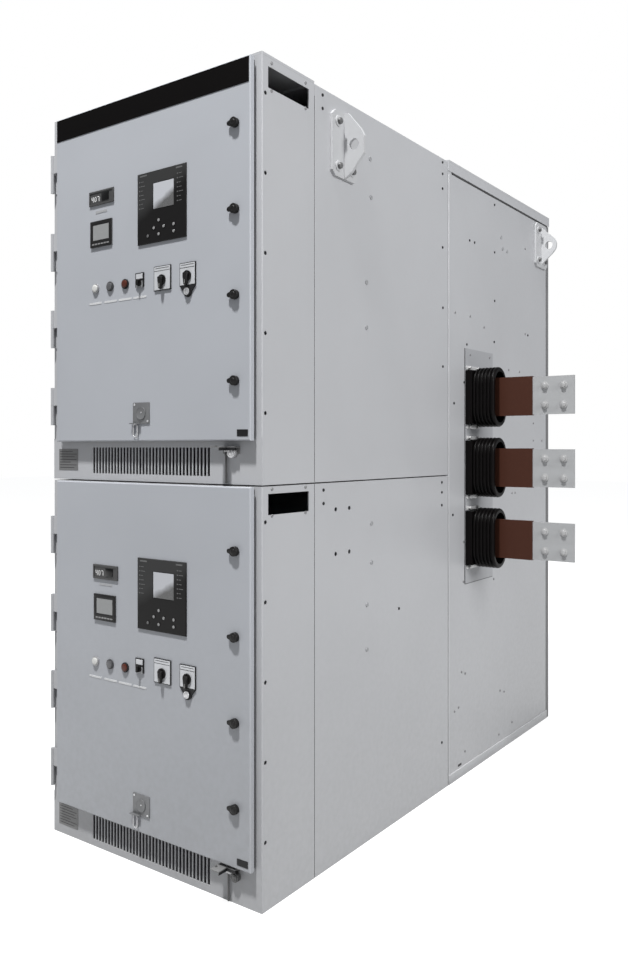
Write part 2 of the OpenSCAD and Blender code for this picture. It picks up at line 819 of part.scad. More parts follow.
// The shelf under a door has one corner cut out and a flange on the panel, above a rod and a lock.
module interlock(m) {
  z = base_z(m) + shelf_z;
  notch_x = shelf_x + shelf_w - notch_w;
  slab(shelf_x, -shelf_out, z, shelf_w - notch_w, shelf_out, sheet);
  slab(shelf_x, -notch_y, z, shelf_w, notch_y, sheet);
  slab(notch_x - sheet, -shelf_out, z - notch_fold, sheet, shelf_out - notch_y + sheet, notch_fold + sheet);
  slab(notch_x - sheet, -notch_y, z - notch_fold, notch_w + sheet, sheet, notch_fold + sheet);
  slab(shelf_x, -sheet, z - shelf_flange, shelf_w, sheet, shelf_flange);
  translate([rod_x[m], -rod_out, z - rod_l]) cylinder(r = rod_r, h = rod_l);
  along_y(lock_x[m], -lock_out - sheet, z - lock_drop[m], lock_r, lock_out + sheet);
}
module interlocks() color(steel) placed() { interlock(LOWER); interlock(UPPER); }

// The sideways place of a door's knobs.
knob_x = door_x + door_w - knob_inset;

module shaft_hole(x, z) { along_y(x, -door_face - over, z, shaft_bore_r, door_sheet + 2 * over); }
// The cut-out for a device's case, as large as the case.
module case_hole(x, z, w, h) {
  slab(x + case_margin, -door_face - over, z + case_margin, w - 2 * case_margin, door_sheet + 2 * over,
       h - 2 * case_margin);
}

// A door is a folded pan with a lip turned in at its back.
module door(m) {
  z0 = door_bottom(m);
  difference() {
    translate([door_x, -door_face, z0]) difference() {
      pan_block(door_w, door_pan, door_h, door_bend);
      slab(door_sheet, door_sheet, door_sheet, door_w - 2 * door_sheet, door_pan - 2 * door_sheet,
           door_h - 2 * door_sheet);
      slab(door_lip, door_sheet, door_lip, door_w - 2 * door_lip, door_pan, door_h - 2 * door_lip);
    }
    for (z = knob_z) shaft_hole(knob_x, z + m * module_pitch);
    shaft_hole(selector_x, z0 + selector_z[m]);
    for (x = control_x) shaft_hole(x, z0 + control_z[m]);
    case_hole(relay_x, z0 + relay_z[m], relay_w, relay_h);
    case_hole(meter_x[m], z0 + meter_z[m], meter_w, meter_h);
    case_hole(display_x[m], z0 + display_z[m], display_w, display_h);
    for (x = button_x) along_y(x, -door_face - over, z0 + button_z[m], button_cap_r, door_sheet + 2 * over);
  }
}
module lower_door() color(door_grey) placed() door(LOWER);
module upper_door() color(door_grey) placed() door(UPPER);

// The rubber seal is a frame between the door's lip and the front frame.
module door_seal(m) {
  a = seal_inset;
  b = seal_inset + seal_w;
  translate([door_x, -door_back, door_bottom(m)]) difference() {
    slab(a, 0, a, door_w - 2 * a, seal_t, door_h - 2 * a);
    slab(b, -over, b, door_w - 2 * b, seal_t + 2 * over, door_h - 2 * b);
  }
}
module lower_door_seal() color(black) placed() door_seal(LOWER);
module upper_door_seal() color(black) placed() door_seal(UPPER);

module header_band() color(black) placed()
  slab(door_x + door_bend, -door_face - band_t, door_bottom(UPPER) + door_h - band_top - band_h,
       door_w - 2 * door_bend, band_t, band_h);

// Places a device on a door's face, with its lower left corner at x and z above the door's lower edge.
module on_door(m, x, z) { translate([x, -door_face, door_bottom(m) + z]) children(); }

// The case behind a bezel passes through the door.
module device_case(w, h, deep) {
  slab(case_margin, 0, case_margin, w - 2 * case_margin, door_sheet + deep, h - 2 * case_margin);
}

// A relay has a rounded bezel, a sunk screen, a round of four keys and three keys beside it.
module relay() {
  translate([0, -relay_t, 0]) difference() {
    pan_block(relay_w, relay_t, relay_h, bezel_r);
    slab(screen_x, -over, screen_z, screen_w, screen_deep + over, screen_h);
  }
  for (a = [0:90:270]) relay_key(key_ring_r * cos(a), key_ring_r * sin(a));
  for (z = [-key_ring_r, 0]) relay_key(key_pair_x, z);
  relay_key(-key_single_x, -key_ring_r);
  device_case(relay_w, relay_h, relay_case);
}
module relay_key(x, z) {
  along_y(key_ring_x + x, -relay_t - key_out, key_ring_z + z, key_r, key_out);
}
module lower_relay() color(black) placed() on_door(LOWER, relay_x, relay_z[LOWER]) relay();
module upper_relay() color(black) placed() on_door(UPPER, relay_x, relay_z[UPPER]) relay();

// A bezel with a sunk window, which stands a foot's height above the lower edge.
module bezel(w, h, rim, foot) {
  translate([0, -meter_t, 0]) difference() {
    pan_block(w, meter_t, h, bezel_r);
    slab(rim, -over, foot, w - 2 * rim, screen_deep + over, h - rim - foot);
  }
}
module meters(m) {
  on_door(m, meter_x[m], meter_z[m]) {
    bezel(meter_w, meter_h, bezel_w, bezel_w);
    device_case(meter_w, meter_h, meter_case);
  }
  on_door(m, display_x[m], display_z[m]) {
    bezel(display_w, display_h, display_rim, display_foot);
    device_case(display_w, display_h, meter_case);
  }
}
module lower_meters() color(black) placed() meters(LOWER);
module upper_meters() color(black) placed() meters(UPPER);

// A block behind the door, centred on a switch or button.
module contact_block(w) { slab(-w / 2, door_sheet, -w / 2, w, block_t, w); }

// A button is a collar and a cap in front of the door, and a contact block behind it.
module buttons(m) {
  for (x = button_x) on_door(m, x, button_z[m]) {
    along_y(0, -button_collar_t, 0, button_collar_r, button_collar_t);
    along_y(0, -button_collar_t - button_cap_t, 0,
            button_cap_r, button_collar_t + button_cap_t + door_sheet);
    contact_block(button_block_w);
  }
}
module lower_buttons() color(steel) placed() buttons(LOWER);
module upper_buttons() color(steel) placed() buttons(UPPER);

// A switch has a plate in front of the door and a block behind it, with one bore for its shaft.
module switch_body(w, h, rise) {
  difference() {
    union() {
      slab(-w / 2, -plate_t, rise - h / 2, w, plate_t, h);
      contact_block(min(w, switch_block_w));
    }
    along_y(0, -plate_t - over, 0, shaft_bore_r, plate_t + door_sheet + block_t / 2 + over);
  }
}

// The pointed plate below the second control switch carries a key lock.
module key_plate() {
  a = control_w[1] / 2;
  tip = key_lock_r + key_rim;
  translate([0, 0, control_rise - control_h[1] / 2]) {
    rotate([90, 0, 0]) linear_extrude(height = plate_t) {
      polygon([[-a, 0], [a, 0], [tip, tip - key_plate_h], [-tip, tip - key_plate_h]]);
      translate([0, tip - key_plate_h]) circle(r = tip);
    }
    along_y(0, -2 * plate_t, tip - key_plate_h, key_lock_r, plate_t);
  }
}
module switch_plates(m) {
  on_door(m, selector_x, selector_z[m]) switch_body(selector_w, selector_h, selector_rise);
  for (i = [0, 1])
    on_door(m, control_x[i], control_z[m]) switch_body(control_w[i], control_h[i], control_rise);
  on_door(m, control_x[1], control_z[m]) key_plate();
}
module lower_switch_plates() color(steel) placed() switch_plates(LOWER);
module upper_switch_plates() color(steel) placed() switch_plates(UPPER);

// A port has a square plate with a raised disc, a lip at its lower left corner and a hanging link.
module port() {
  lip_x = -port_w / 2 - lip_past;
  slab(-port_w / 2, -port_t, -port_h / 2, port_w, port_t, port_h);
  along_y(0, -2 * port_t, 0, port_r, port_t);
  slab(lip_x, -port_lip, -port_h / 2, lip_w, port_lip - port_t, port_t);
  translate([lip_x + lip_w / 2, -port_t, port_t - port_h / 2]) rotate([90, 0, 0])
    linear_extrude(height = link_bar) translate([0, -link_l / 2]) difference() {
      oval(link_w, link_l);
      oval(link_w - 2 * link_bar, link_l - 2 * link_bar);
    }
}
module lower_port() color(steel) placed() on_door(LOWER, port_x, port_z[LOWER]) port();
module upper_port() color(steel) placed() on_door(UPPER, port_x, port_z[UPPER]) port();

// A turned part on a shaft that runs in the door, standing off by a running gap.
module shaft(t) { along_y(0, -run_gap - over, 0, knob_shaft_r, t + over + run_gap); }

// A flat arm along -X or -Z that tapers from a wide round end to a narrow one.
module tapered_arm(r1, r2, l) {
  circle(r = r1);
  polygon([[0, r1], [0, -r1], [r2 - l, -r2], [r2 - l, r2]]);
  translate([r2 - l, 0]) circle(r = r2);
}

// A latch knob is a round hub with one wing and a small boss on its end.
module knob(m, i) {
  translate([knob_x, -door_face, knob_z[i] + m * module_pitch]) {
    shaft(door_sheet + shaft_end);
    along_y(0, -knob_h, 0, knob_r, knob_h - run_gap);
    along_y(0, -knob_h - knob_boss_t, 0, knob_boss_r, knob_boss_t + over);
    translate([0, -knob_lift, 0]) rotate([90, 0, 0])
      linear_extrude(height = knob_h - knob_lift - knob_crown)
        tapered_arm(knob_root_r, knob_tip_r, knob_wing);
  }
}
module lower_knob_1() color(black) placed() knob(LOWER, 0);
module lower_knob_2() color(black) placed() knob(LOWER, 1);
module lower_knob_3() color(black) placed() knob(LOWER, 2);
module lower_knob_4() color(black) placed() knob(LOWER, 3);
module upper_knob_1() color(black) placed() knob(UPPER, 0);
module upper_knob_2() color(black) placed() knob(UPPER, 1);
module upper_knob_3() color(black) placed() knob(UPPER, 2);
module upper_knob_4() color(black) placed() knob(UPPER, 3);

// A control switch's handle is a round base with a pistol grip hanging down from it.
module control(m, i) {
  translate([control_x[i], -door_face - plate_t, door_bottom(m) + control_z[m]]) {
    shaft(plate_t + door_sheet + shaft_end);
    along_y(0, -grip_base_t, 0, grip_r, grip_base_t - run_gap);
    translate([0, -grip_base_t + over, 0]) rotate([90, 0, 0]) linear_extrude(height = grip_t + over)
      rotate(90) tapered_arm(grip_head_r, grip_tip_r, grip_l);
  }
}
module lower_control_1() color(black) placed() control(LOWER, 0);
module lower_control_2() color(black) placed() control(LOWER, 1);
module upper_control_1() color(black) placed() control(UPPER, 0);
module upper_control_2() color(black) placed() control(UPPER, 1);

// A selector is a small round knob with a raised bar across it.
module selector(m) {
  translate([selector_x, -door_face - plate_t, door_bottom(m) + selector_z[m]]) {
    shaft(plate_t + door_sheet + shaft_end);
    along_y(0, -grip_base_t, 0, selector_r, grip_base_t - run_gap);
    slab(-selector_bar_w / 2, -grip_base_t - selector_bar_t, -selector_r + over, selector_bar_w,
         selector_bar_t + over, 2 * (selector_r - over));
  }
}
module lower_selector() color(black) placed() selector(LOWER);
module upper_selector() color(black) placed() selector(UPPER);

right_frame_strips();
left_frame_strips();
frame_headers();
upper_vent_panel();
lower_vent_panel();
right_side_sheets();
left_side_sheets();
front_floor();
middle_deck();
front_roof();
middle_barrier();
rear_right_side();
rear_left_side();
rear_roof();
rear_floor();
rear_covers();
lifting_lugs();
bushing_plate();
bus_bushings();
bus_sleeves();
bus_bars();
frame_hinges();
interlocks();
lower_door();
lower_door_seal();
lower_door_hinges();
lower_relay();
lower_meters();
lower_buttons();
lower_switch_plates();
lower_port();
upper_door();
upper_door_seal();
upper_door_hinges();
upper_relay();
upper_meters();
upper_buttons();
upper_switch_plates();
upper_port();
header_band();
lower_knob_1();
lower_knob_2();
lower_knob_3();
lower_knob_4();
upper_knob_1();
upper_knob_2();
upper_knob_3();
upper_knob_4();
lower_control_1();
lower_control_2();
upper_control_1();
upper_control_2();
lower_selector();
upper_selector();
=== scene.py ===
"""Looks of a two-high metal-clad switchgear section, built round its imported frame.

Metres. X runs across the front, Y from the front to the rear, Z up from the floor.
"""

import math

import bmesh
import bpy
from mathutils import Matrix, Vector


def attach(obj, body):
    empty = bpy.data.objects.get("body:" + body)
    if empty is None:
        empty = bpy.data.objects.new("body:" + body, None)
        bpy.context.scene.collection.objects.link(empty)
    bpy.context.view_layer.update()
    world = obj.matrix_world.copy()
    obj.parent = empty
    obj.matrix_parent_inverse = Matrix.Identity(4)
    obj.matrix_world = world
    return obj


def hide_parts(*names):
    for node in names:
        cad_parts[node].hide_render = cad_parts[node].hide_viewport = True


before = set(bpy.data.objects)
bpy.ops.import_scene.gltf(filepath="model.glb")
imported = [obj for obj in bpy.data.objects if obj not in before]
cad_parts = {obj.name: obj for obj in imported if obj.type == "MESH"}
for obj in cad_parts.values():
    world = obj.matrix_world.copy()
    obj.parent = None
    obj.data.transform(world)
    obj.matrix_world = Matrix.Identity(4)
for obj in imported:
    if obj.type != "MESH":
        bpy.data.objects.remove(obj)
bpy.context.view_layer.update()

# Camera
# It stands to the right of the front corner, at eye height, and looks level. A small shift takes in
# the floor in front of the section.
EYE = (1.987, -2.966, 1.306)
LENS = 32.12
DOWN_SHIFT = -0.0384
TURN = math.radians(35.83)

bpy.ops.object.camera_add(location=EYE, rotation=(math.radians(90), 0, TURN))
camera = bpy.context.object
camera.name = "eye_level_camera"
camera.data.sensor_width = 36
camera.data.lens = LENS
camera.data.shift_y = DOWN_SHIFT
bpy.context.scene.camera = camera

# Painted sheets
# The sides, roofs, floors, frames and rear covers are folded sheet steel, powder coated light grey.
# The coat has a faint orange peel and a slight drift in tone, and its colour is painted darker towards
# the floor as shade, and darker on the roofs.
CABINET_GREY = (0.46, 0.465, 0.48, 1)
MOUNTING_GREY = (0.36, 0.365, 0.38, 1)
DOOR_GREY = (0.425, 0.44, 0.47, 1)
DARKENED_TONE = (0.27, 0.268, 0.265, 1)
SHADE_TOP = 0.9
ROOF_Z, CELL_ROOF_Z = 2.413, 2.405
ROOF_NEAR, ROOF_DARKENING = 0.0004, 2.4
LOOK = (("Color", "Color"), ("Roughness", "Float"), ("Height", "Float"))


def effect(name, inputs, outputs=LOOK):
    """A shader group with sockets given as (name, kind), the sockets it is given and those it feeds."""
    group = bpy.data.node_groups.new(name, "ShaderNodeTree")
    inputs = (("Vector", "Vector"), *inputs)
    for way, sockets in (("INPUT", inputs), ("OUTPUT", outputs)):
        for title, kind in sockets:
            group.interface.new_socket(title, in_out=way, socket_type="NodeSocket" + kind)
    given, put_out = group.nodes.new("NodeGroupInput"), group.nodes.new("NodeGroupOutput")
    return group, given.outputs[:len(inputs)], put_out.inputs


def feed(tree, source, *sockets):
    """Links inputs to another node's socket, or sets them to a value."""
    for socket in sockets:
        if isinstance(source, bpy.types.NodeSocket):
            tree.links.new(source, socket)
        else:
            socket.default_value = source


def node_in(tree, kind, **settings):
    """A node of a kind. Its properties and inputs are set by name, to values or other nodes' sockets."""
    made = tree.nodes.new("ShaderNode" + kind)
    for key, value in settings.items():
        if hasattr(made, key):
            setattr(made, key, value)
        else:
            feed(tree, value, made.inputs[key])
    return made


def maths(tree, operation, *sources):
    """A maths node fed with sockets or values."""
    made = node_in(tree, "Math", operation=operation)
    for source, socket in zip(sources, made.inputs):
        feed(tree, source, socket)
    return made.outputs[0]


def blend_colour(tree, factor, first, second):
    """A colour mix whose factor and colours are sockets or values."""
    mix = node_in(tree, "Mix", data_type="RGBA")
    for source, number in ((factor, 0), (first, 6), (second, 7)):
        feed(tree, source, mix.inputs[number])
    return mix.outputs[2]


def ramped(tree, source, low, high, to_low=0.0, to_high=1.0):
    """A value stretched from one range to another and held at its ends."""
    span = node_in(tree, "MapRange")
    for number, value in enumerate((source, low, high, to_low, to_high)):
        feed(tree, value, span.inputs[number])
    return span.outputs["Result"]


def powder_coat_effect():
    group, (place, paint, drift, darkening), out = effect(
        "powder_coat", (("Paint", "Color"), ("Drift", "Float"), ("Darkening", "Float")))
    clouds = node_in(group, "TexNoise", Vector=place, Scale=1.7, Detail=3.0, Roughness=0.55)
    specks = node_in(group, "TexNoise", Vector=place, Scale=55.0, Detail=2.0).outputs["Fac"]
    peel = node_in(group, "TexNoise", Vector=place, Scale=520.0, Detail=1.0)
    darker = node_in(group, "HueSaturation", Value=0.8, Color=paint)
    patch = maths(group, "MULTIPLY", ramped(group, clouds.outputs["Fac"], 0.35, 0.7), drift)
    coat = blend_colour(group, patch, paint, darker.outputs["Color"])
    height = node_in(group, "SeparateXYZ", Vector=place).outputs["Z"]
    # Painted shade towards the floor, and a darkening on the roofs, both in the coat's colour.
    shade_low_down = ramped(group, height, 0.0, SHADE_TOP, 1.0, 0.0)
    on_top = ramped(group, height, ROOF_Z - 3 * ROOF_NEAR, ROOF_Z - ROOF_NEAR, 0.0, ROOF_DARKENING)
    on_cells = maths(group, "COMPARE", height, CELL_ROOF_Z, ROOF_NEAR)
    roofs = maths(group, "MULTIPLY_ADD", on_cells, ROOF_DARKENING, on_top)
    either = maths(group, "MAXIMUM", shade_low_down, roofs)
    darkened = maths(group, "MULTIPLY", either, ramped(group, specks, 0.3, 0.7, 0.6, 1.0))
    darkness = maths(group, "MULTIPLY", darkened, darkening)
    feed(group, blend_colour(group, darkness, coat, DARKENED_TONE), out["Color"])
    feed(group, ramped(group, specks, 0.3, 0.7, 0.36, 0.46), out["Roughness"])
    feed(group, peel.outputs["Fac"], out["Height"])
    return group


POWDER_COAT = powder_coat_effect()


def finish_with(name, group, values, metallic=0.0, depth=0.0001, specular=0.5, stretch=(1, 1, 1)):
    """A material whose colour, roughness and bump come from one effect on object coordinates."""
    made = bpy.data.materials.new(name)
    made.use_nodes = True
    tree = made.node_tree
    place = node_in(tree, "TexCoord")
    turn = node_in(tree, "Mapping", Vector=place.outputs["Object"], Scale=stretch)
    look = node_in(tree, "Group", node_tree=group, Vector=turn.outputs["Vector"], **values)
    relief = node_in(tree, "Bump", Strength=0.5, Distance=depth, Height=look.outputs["Height"])
    for title, source in (("Metallic", metallic), ("Specular IOR Level", specular),
                          ("Base Color", look.outputs["Color"]), ("Roughness", look.outputs["Roughness"]),
                          ("Normal", relief.outputs["Normal"])):
        feed(tree, source, tree.nodes["Principled BSDF"].inputs[title])
    return made


def painted(name, tone, drift, darkening=0.3):
    """A powder coat of one tone."""
    return finish_with(name, POWDER_COAT, {"Paint": tone, "Drift": drift, "Darkening": darkening}, specular=0.35)


cabinet_paint = painted("cabinet_powder_coat", CABINET_GREY, 0.25)
mounting_paint = painted("mounting_powder_coat", MOUNTING_GREY, 0.2)
door_paint = painted("door_powder_coat", DOOR_GREY, 0.3, 0.45)


def coat_node(node, finish):
    """Gives a frame node its finish, and leaves its mesh alone."""
    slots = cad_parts[node].data.materials
    slots.clear()
    slots.append(finish)


for sheet in ("right_frame_strips", "left_frame_strips", "frame_headers", "upper_vent_panel",
              "lower_vent_panel", "right_side_sheets", "left_side_sheets", "front_floor", "middle_deck",
              "front_roof", "middle_barrier", "rear_right_side", "rear_left_side", "rear_roof",
              "rear_floor", "frame_hinges", "lower_door_hinges", "upper_door_hinges"):
    coat_node(sheet, cabinet_paint)
for darker_sheet in ("bushing_plate", "rear_covers"):
    coat_node(darker_sheet, mounting_paint)

# Doors
# Each door is a folded steel pan, powder coated a slightly cooler grey than the cabinet.
# It hangs on four lift-off hinges and closes on a black rubber seal stuck to its back.
MODULES = (("lower", 0.0), ("upper", 1.2065))
FRAME_Y = -1.095
DOOR_Y = FRAME_Y - 0.0273
DOOR_BOTTOM = 0.117
DOOR_SHEET = 0.0025
DOORS = [(level, level + "_door", DOOR_BOTTOM + rise) for level, rise in MODULES]


def moulded_effect():
    group, (place, tone, gloss, scuff), out = effect(
        "moulded_grain", (("Tone", "Color"), ("Gloss", "Float"), ("Scuff", "Float")))
    grain = node_in(group, "TexNoise", Vector=place, Scale=900.0, Detail=2.0)
    rubbed = node_in(group, "TexNoise", Vector=place, Scale=70.0, Detail=5.0, Roughness=0.7)
    marks = maths(group, "MULTIPLY", ramped(group, rubbed.outputs["Fac"], 0.52, 0.75), scuff)
    paler = node_in(group, "HueSaturation", Value=2.2, Color=tone)
    feed(group, blend_colour(group, marks, tone, paler.outputs["Color"]), out["Color"])
    feed(group, maths(group, "MULTIPLY_ADD", marks, 0.35, gloss), out["Roughness"])
    feed(group, grain.outputs["Fac"], out["Height"])
    return group


MOULDED = moulded_effect()


def moulded(name, tone, gloss, scuff, depth=0.00005, specular=0.5):
    """A plastic, rubber or print of one tone."""
    return finish_with(name, MOULDED, {"Tone": (*tone, 1), "Gloss": gloss, "Scuff": scuff}, depth=depth,
                       specular=specular)


seal_rubber = moulded("seal_rubber", (0.075, 0.075, 0.077), 0.7, 0.4, depth=0.0002)

for _, door, _ in DOORS:
    coat_node(door, door_paint)
    coat_node(door + "_seal", seal_rubber)

# Joint beads
# A thin dark bead of sealant fills each upright joint and edges the plate behind the bushings, and a
# strip of the same black under the skirt of the rear roof is a painted shadow. The rear sheets fold
# over their posts and base and stand a little proud, darker grey strips at the rear corners are painted
# shade, pale strips along the rear folds are painted highlights, and a plain strip closes the gap under
# the rear roof.
SIDE_X = 0.4572
SKIRT_Z = 2.371
BEAD_W, BEAD_SUNK, BEAD_LIP = 0.0026, 0.0029, 0.0004
BASE_FOLD_Z = 0.034
CLOSING_X, CLOSING_Y, CLOSING_T = 0.4545, 2.168, 0.0015


def unselect():
    if bpy.context.object and bpy.context.object.mode != "OBJECT":
        bpy.ops.object.mode_set(mode="OBJECT")
    bpy.ops.object.select_all(action="DESELECT")


def select(*things):
    """Selects things in object mode, the first of them as the active one."""
    unselect()
    for thing in things:
        thing.select_set(True)
    bpy.context.view_layer.objects.active = things[0]


def placed():
    """The mesh just added, with its place and size taken into its mesh."""
    bpy.ops.object.transform_apply(location=True, rotation=True, scale=True)
    return bpy.context.object


def box(low, high):
    """A box between two corners."""
    unselect()
    size = [b - a for a, b in zip(low, high)]
    bpy.ops.mesh.primitive_cube_add(size=1, location=[(a + b) / 2 for a, b in zip(low, high)], scale=size)
    return placed()


def round_off(thing, width, segments=2, angle=40):
    """Rounds every edge sharper than an angle with an applied bevel, and shades by angle."""
    select(thing)
    rounding = thing.modifiers.new("rounding", "BEVEL")
    rounding.width = width
    rounding.segments = segments
    rounding.limit_method = "ANGLE"
    rounding.angle_limit = math.radians(angle)
    bpy.ops.object.modifier_apply(modifier=rounding.name)
    bpy.ops.object.shade_smooth_by_angle(angle=math.radians(35))
    return thing


def joined(things):
    """Joins meshes into the first of them."""
    select(*things)
    if len(things) > 1:
        bpy.ops.object.join()
    return things[0]


def hand_over(thing, name, finish, body="cabinet", slot="plated_steel", *nodes):
    """Names a finished piece, gives it its finish, and hangs it on its body, in place of nodes. The slot is
    not used.
    """
    unselect()
    thing.name = name
    thing.data.name = name
    thing.data.materials.clear()
    thing.data.materials.append(finish)
    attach(thing, body)
    if nodes:
        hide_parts(*nodes)


def bead(side, low, high, out, sunk=0.001):
    """A thin strip on one side, between two corners given as (y, z) behind the front frame."""
    near, far = sorted((side * (SIDE_X - sunk), side * (SIDE_X + out)))
    return round_off(box((near, FRAME_Y + low[0], low[1]), (far, FRAME_Y + high[0], high[1])), 0.0004)


sealant_and_shadow_black = moulded("sealant_and_shadow_black", (0.05, 0.05, 0.051), 0.6, 0.3, depth=0.0001, specular=0.2)
painted_shade_grey = moulded("painted_shade_grey", (0.2, 0.2, 0.205), 0.5, 0.2, depth=0.0001, specular=0.2)
painted_highlight = painted("painted_highlight", (0.62, 0.625, 0.64, 1), 0.3, 0.1)
dark_strips, folds, edges, highlight_strips = [], [], [], []
for side in (-1, 1):
    for seam in (0.251, 1.132):
        for low_z, high_z in ((0.002, 1.192), (1.200, 2.370)):
            dark_strips.append(bead(side, (seam - BEAD_W / 2, low_z), (seam + BEAD_W / 2, high_z),
                              -BEAD_LIP, BEAD_SUNK))
    # Painted shadow: a black strip under the rear roof's skirt.
    dark_strips.append(bead(side, (1.160, SKIRT_Z - 0.0075), (2.168, SKIRT_Z), 0.0018))
    dark_strips.append(bead(side, (2.1665, 0.004), (2.1705, 2.366), 0.0006))
    # Painted shade: darker grey strips at the rear corners.
    edges.append(bead(side, (2.152, BASE_FOLD_Z), (2.165, 2.366), 0.0006))
    edges.append(bead(side, (2.1705, 0.004), (2.186, 2.366), 0.0006))
    folds.append(bead(side, (1.1345, 0.0), (2.165, BASE_FOLD_Z), 0.0016))
    # Painted highlights: pale strips along the rear fold edges.
    highlight_strips.append(bead(side, (1.1345, BASE_FOLD_Z), (1.1385, SKIRT_Z - 0.010), 0.0010))
    highlight_strips.append(bead(side, (1.1345, BASE_FOLD_Z), (2.160, BASE_FOLD_Z + 0.0045), 0.0022))
folds.append(box((-CLOSING_X, FRAME_Y + CLOSING_Y - CLOSING_T / 2, SKIRT_Z - 0.012),
                 (CLOSING_X, FRAME_Y + CLOSING_Y + CLOSING_T / 2, ROOF_Z - 0.0025)))
dark_strips.append(bead(1, (1.2726, 0.760), (1.275, 1.700), 0.0022))
dark_strips.append(bead(1, (1.275, 0.7574), (1.535, 0.760), 0.0022))
dark_strips.append(bead(1, (1.216, 0.046), (1.246, 0.055), 0.0004))
for strips, title, finish, slot in ((dark_strips, "sealant_beads_and_skirt_shadow", sealant_and_shadow_black, "black_plastic"),
                                    (folds, "rear_frame_folds", cabinet_paint, "cabinet_grey"),
                                    (edges, "rear_painted_shade_strips", painted_shade_grey, "cabinet_grey"),
                                    (highlight_strips, "rear_fold_highlights", painted_highlight, "cabinet_grey")):
    hand_over(joined(strips), title, finish, "cabinet", slot)

# Header band
# A strip of satin black film covers the top of the upper door from edge to edge.
# It is bare: such a strip carries lettering, and none is drawn here.
band_film = moulded("satin_black_film", (0.004, 0.0035, 0.0035), 0.5, 0.1, specular=0.04)
coat_node("header_band", band_film)

# Latch knobs
# Four quarter-turn knobs hold each door shut. Each is one black nylon moulding: a round hub with a
# tapered wing to grip and a low round boss over the screw that fixes it to its shaft.
KNOB_X = 0.3838
KNOB_HEIGHTS = (0.286, 0.528, 0.770, 1.012)
HUB_R, HUB_H, BOSS_R, BOSS_H = 0.014, 0.014, 0.008, 0.002
WING_L, WING_ROOT, WING_TIP, WING_LIFT, WING_CROWN = 0.025, 0.012, 0.005, 0.004, 0.002
SHAFT_R, SHAFT_SUNK, SHAFT_PAST = 0.005, 0.001, 0.002
FRONT = (0, -1, 0)
FORWARD = (math.radians(90), 0, 0)


def pick(thing, test, kind="FACE"):
    """Opens a mesh for editing, with only the faces or edges selected that pass a test."""
    select(thing)
    bpy.ops.object.mode_set(mode="EDIT")
    bpy.ops.mesh.select_mode(type=kind)
    bpy.ops.mesh.select_all(action="DESELECT")
    shape = bmesh.from_edit_mesh(thing.data)
    for part in shape.faces if kind == "FACE" else shape.edges:
        if test(part):
            part.select_set(True)
    bmesh.update_edit_mesh(thing.data)


def facing(direction, least=0.9):
    way = Vector(direction)
    return lambda face: face.normal.dot(way) > least


def along_y(edge):
    return abs((edge.verts[0].co - edge.verts[1].co).normalized().y) > 0.9


def step(inset, move):
    """Insets the picked faces and moves them in or out with walls round them."""
    bpy.ops.mesh.inset(thickness=inset, depth=0)
    bpy.ops.mesh.extrude_region_move(TRANSFORM_OT_translate={"value": move})


def round_corners(thing, radius, segments=3):
    """Rounds the edges along Y."""
    pick(thing, along_y, "EDGE")
    bpy.ops.mesh.bevel(offset=radius, segments=segments)


def bar(middle, radius, length, sides, turn=(0, 0, 0)):
    """A round or many-sided bar about its middle, upright unless it is turned."""
    unselect()
    bpy.ops.mesh.primitive_cylinder_add(vertices=sides, radius=radius, depth=length, rotation=turn,
                                        location=middle)
    return placed()


def disc(centre, radius, depth, sides=32):
    """A round bar along Y from its front face's centre."""
    return bar((centre[0], centre[1] + depth / 2, centre[2]), radius, depth, sides, FORWARD)


def moved_copy(source, offset):
    """A copy with a mesh of its own, moved in its mesh."""
    select(source)
    bpy.ops.object.duplicate(linked=False)
    made = bpy.context.object
    bpy.ops.transform.translate(value=offset)
    bpy.ops.object.transform_apply(location=True, rotation=False, scale=False)
    return made


def switch_shaft(x, z, front, through):
    """The shaft of a knob or handle, from just inside its front piece to just behind the door."""
    shaft = disc((x, front - SHAFT_SUNK, z), SHAFT_R, SHAFT_SUNK + through + SHAFT_PAST, 16)
    return round_off(shaft, 0.0006, 1)


def latch_knob():
    height = KNOB_HEIGHTS[0]
    hub = disc((KNOB_X, DOOR_Y - HUB_H, height), HUB_R, HUB_H - 0.0004)
    pick(hub, facing(FRONT))
    step(HUB_R - BOSS_R, (0, -BOSS_H, 0))
    bpy.ops.transform.resize(value=(0.8, 1, 0.8))
    round_off(hub, 0.0016, 3)
    wing = box((KNOB_X - WING_L, DOOR_Y - HUB_H + WING_CROWN, height - WING_ROOT),
               (KNOB_X, DOOR_Y - WING_LIFT, height + WING_ROOT))
    pick(wing, facing((-1, 0, 0)))
    bpy.ops.transform.resize(value=(1, 0.85, WING_TIP / WING_ROOT))
    pick(wing, lambda edge: along_y(edge) and edge.verts[0].co.x < KNOB_X - WING_L / 2, "EDGE")
    bpy.ops.mesh.bevel(offset=WING_TIP * 0.8, segments=4)
    round_off(wing, 0.0016, 3, 50)
    return joined([hub, wing, switch_shaft(KNOB_X, height, DOOR_Y, DOOR_SHEET)])


knob_nylon = moulded("knob_nylon", (0.01, 0.0095, 0.0095), 0.4, 0.4, depth=0.0001, specular=0.2)
first_knob = latch_knob()
for level, rise in MODULES:
    for number, height in enumerate(KNOB_HEIGHTS, 1):
        name = f"{level}_knob_{number}"
        knob = moved_copy(first_knob, (0, 0, height - KNOB_HEIGHTS[0] + rise))
        hand_over(knob, name + "_moulding", knob_nylon, name, "black_plastic", name)
bpy.data.objects.remove(first_knob)

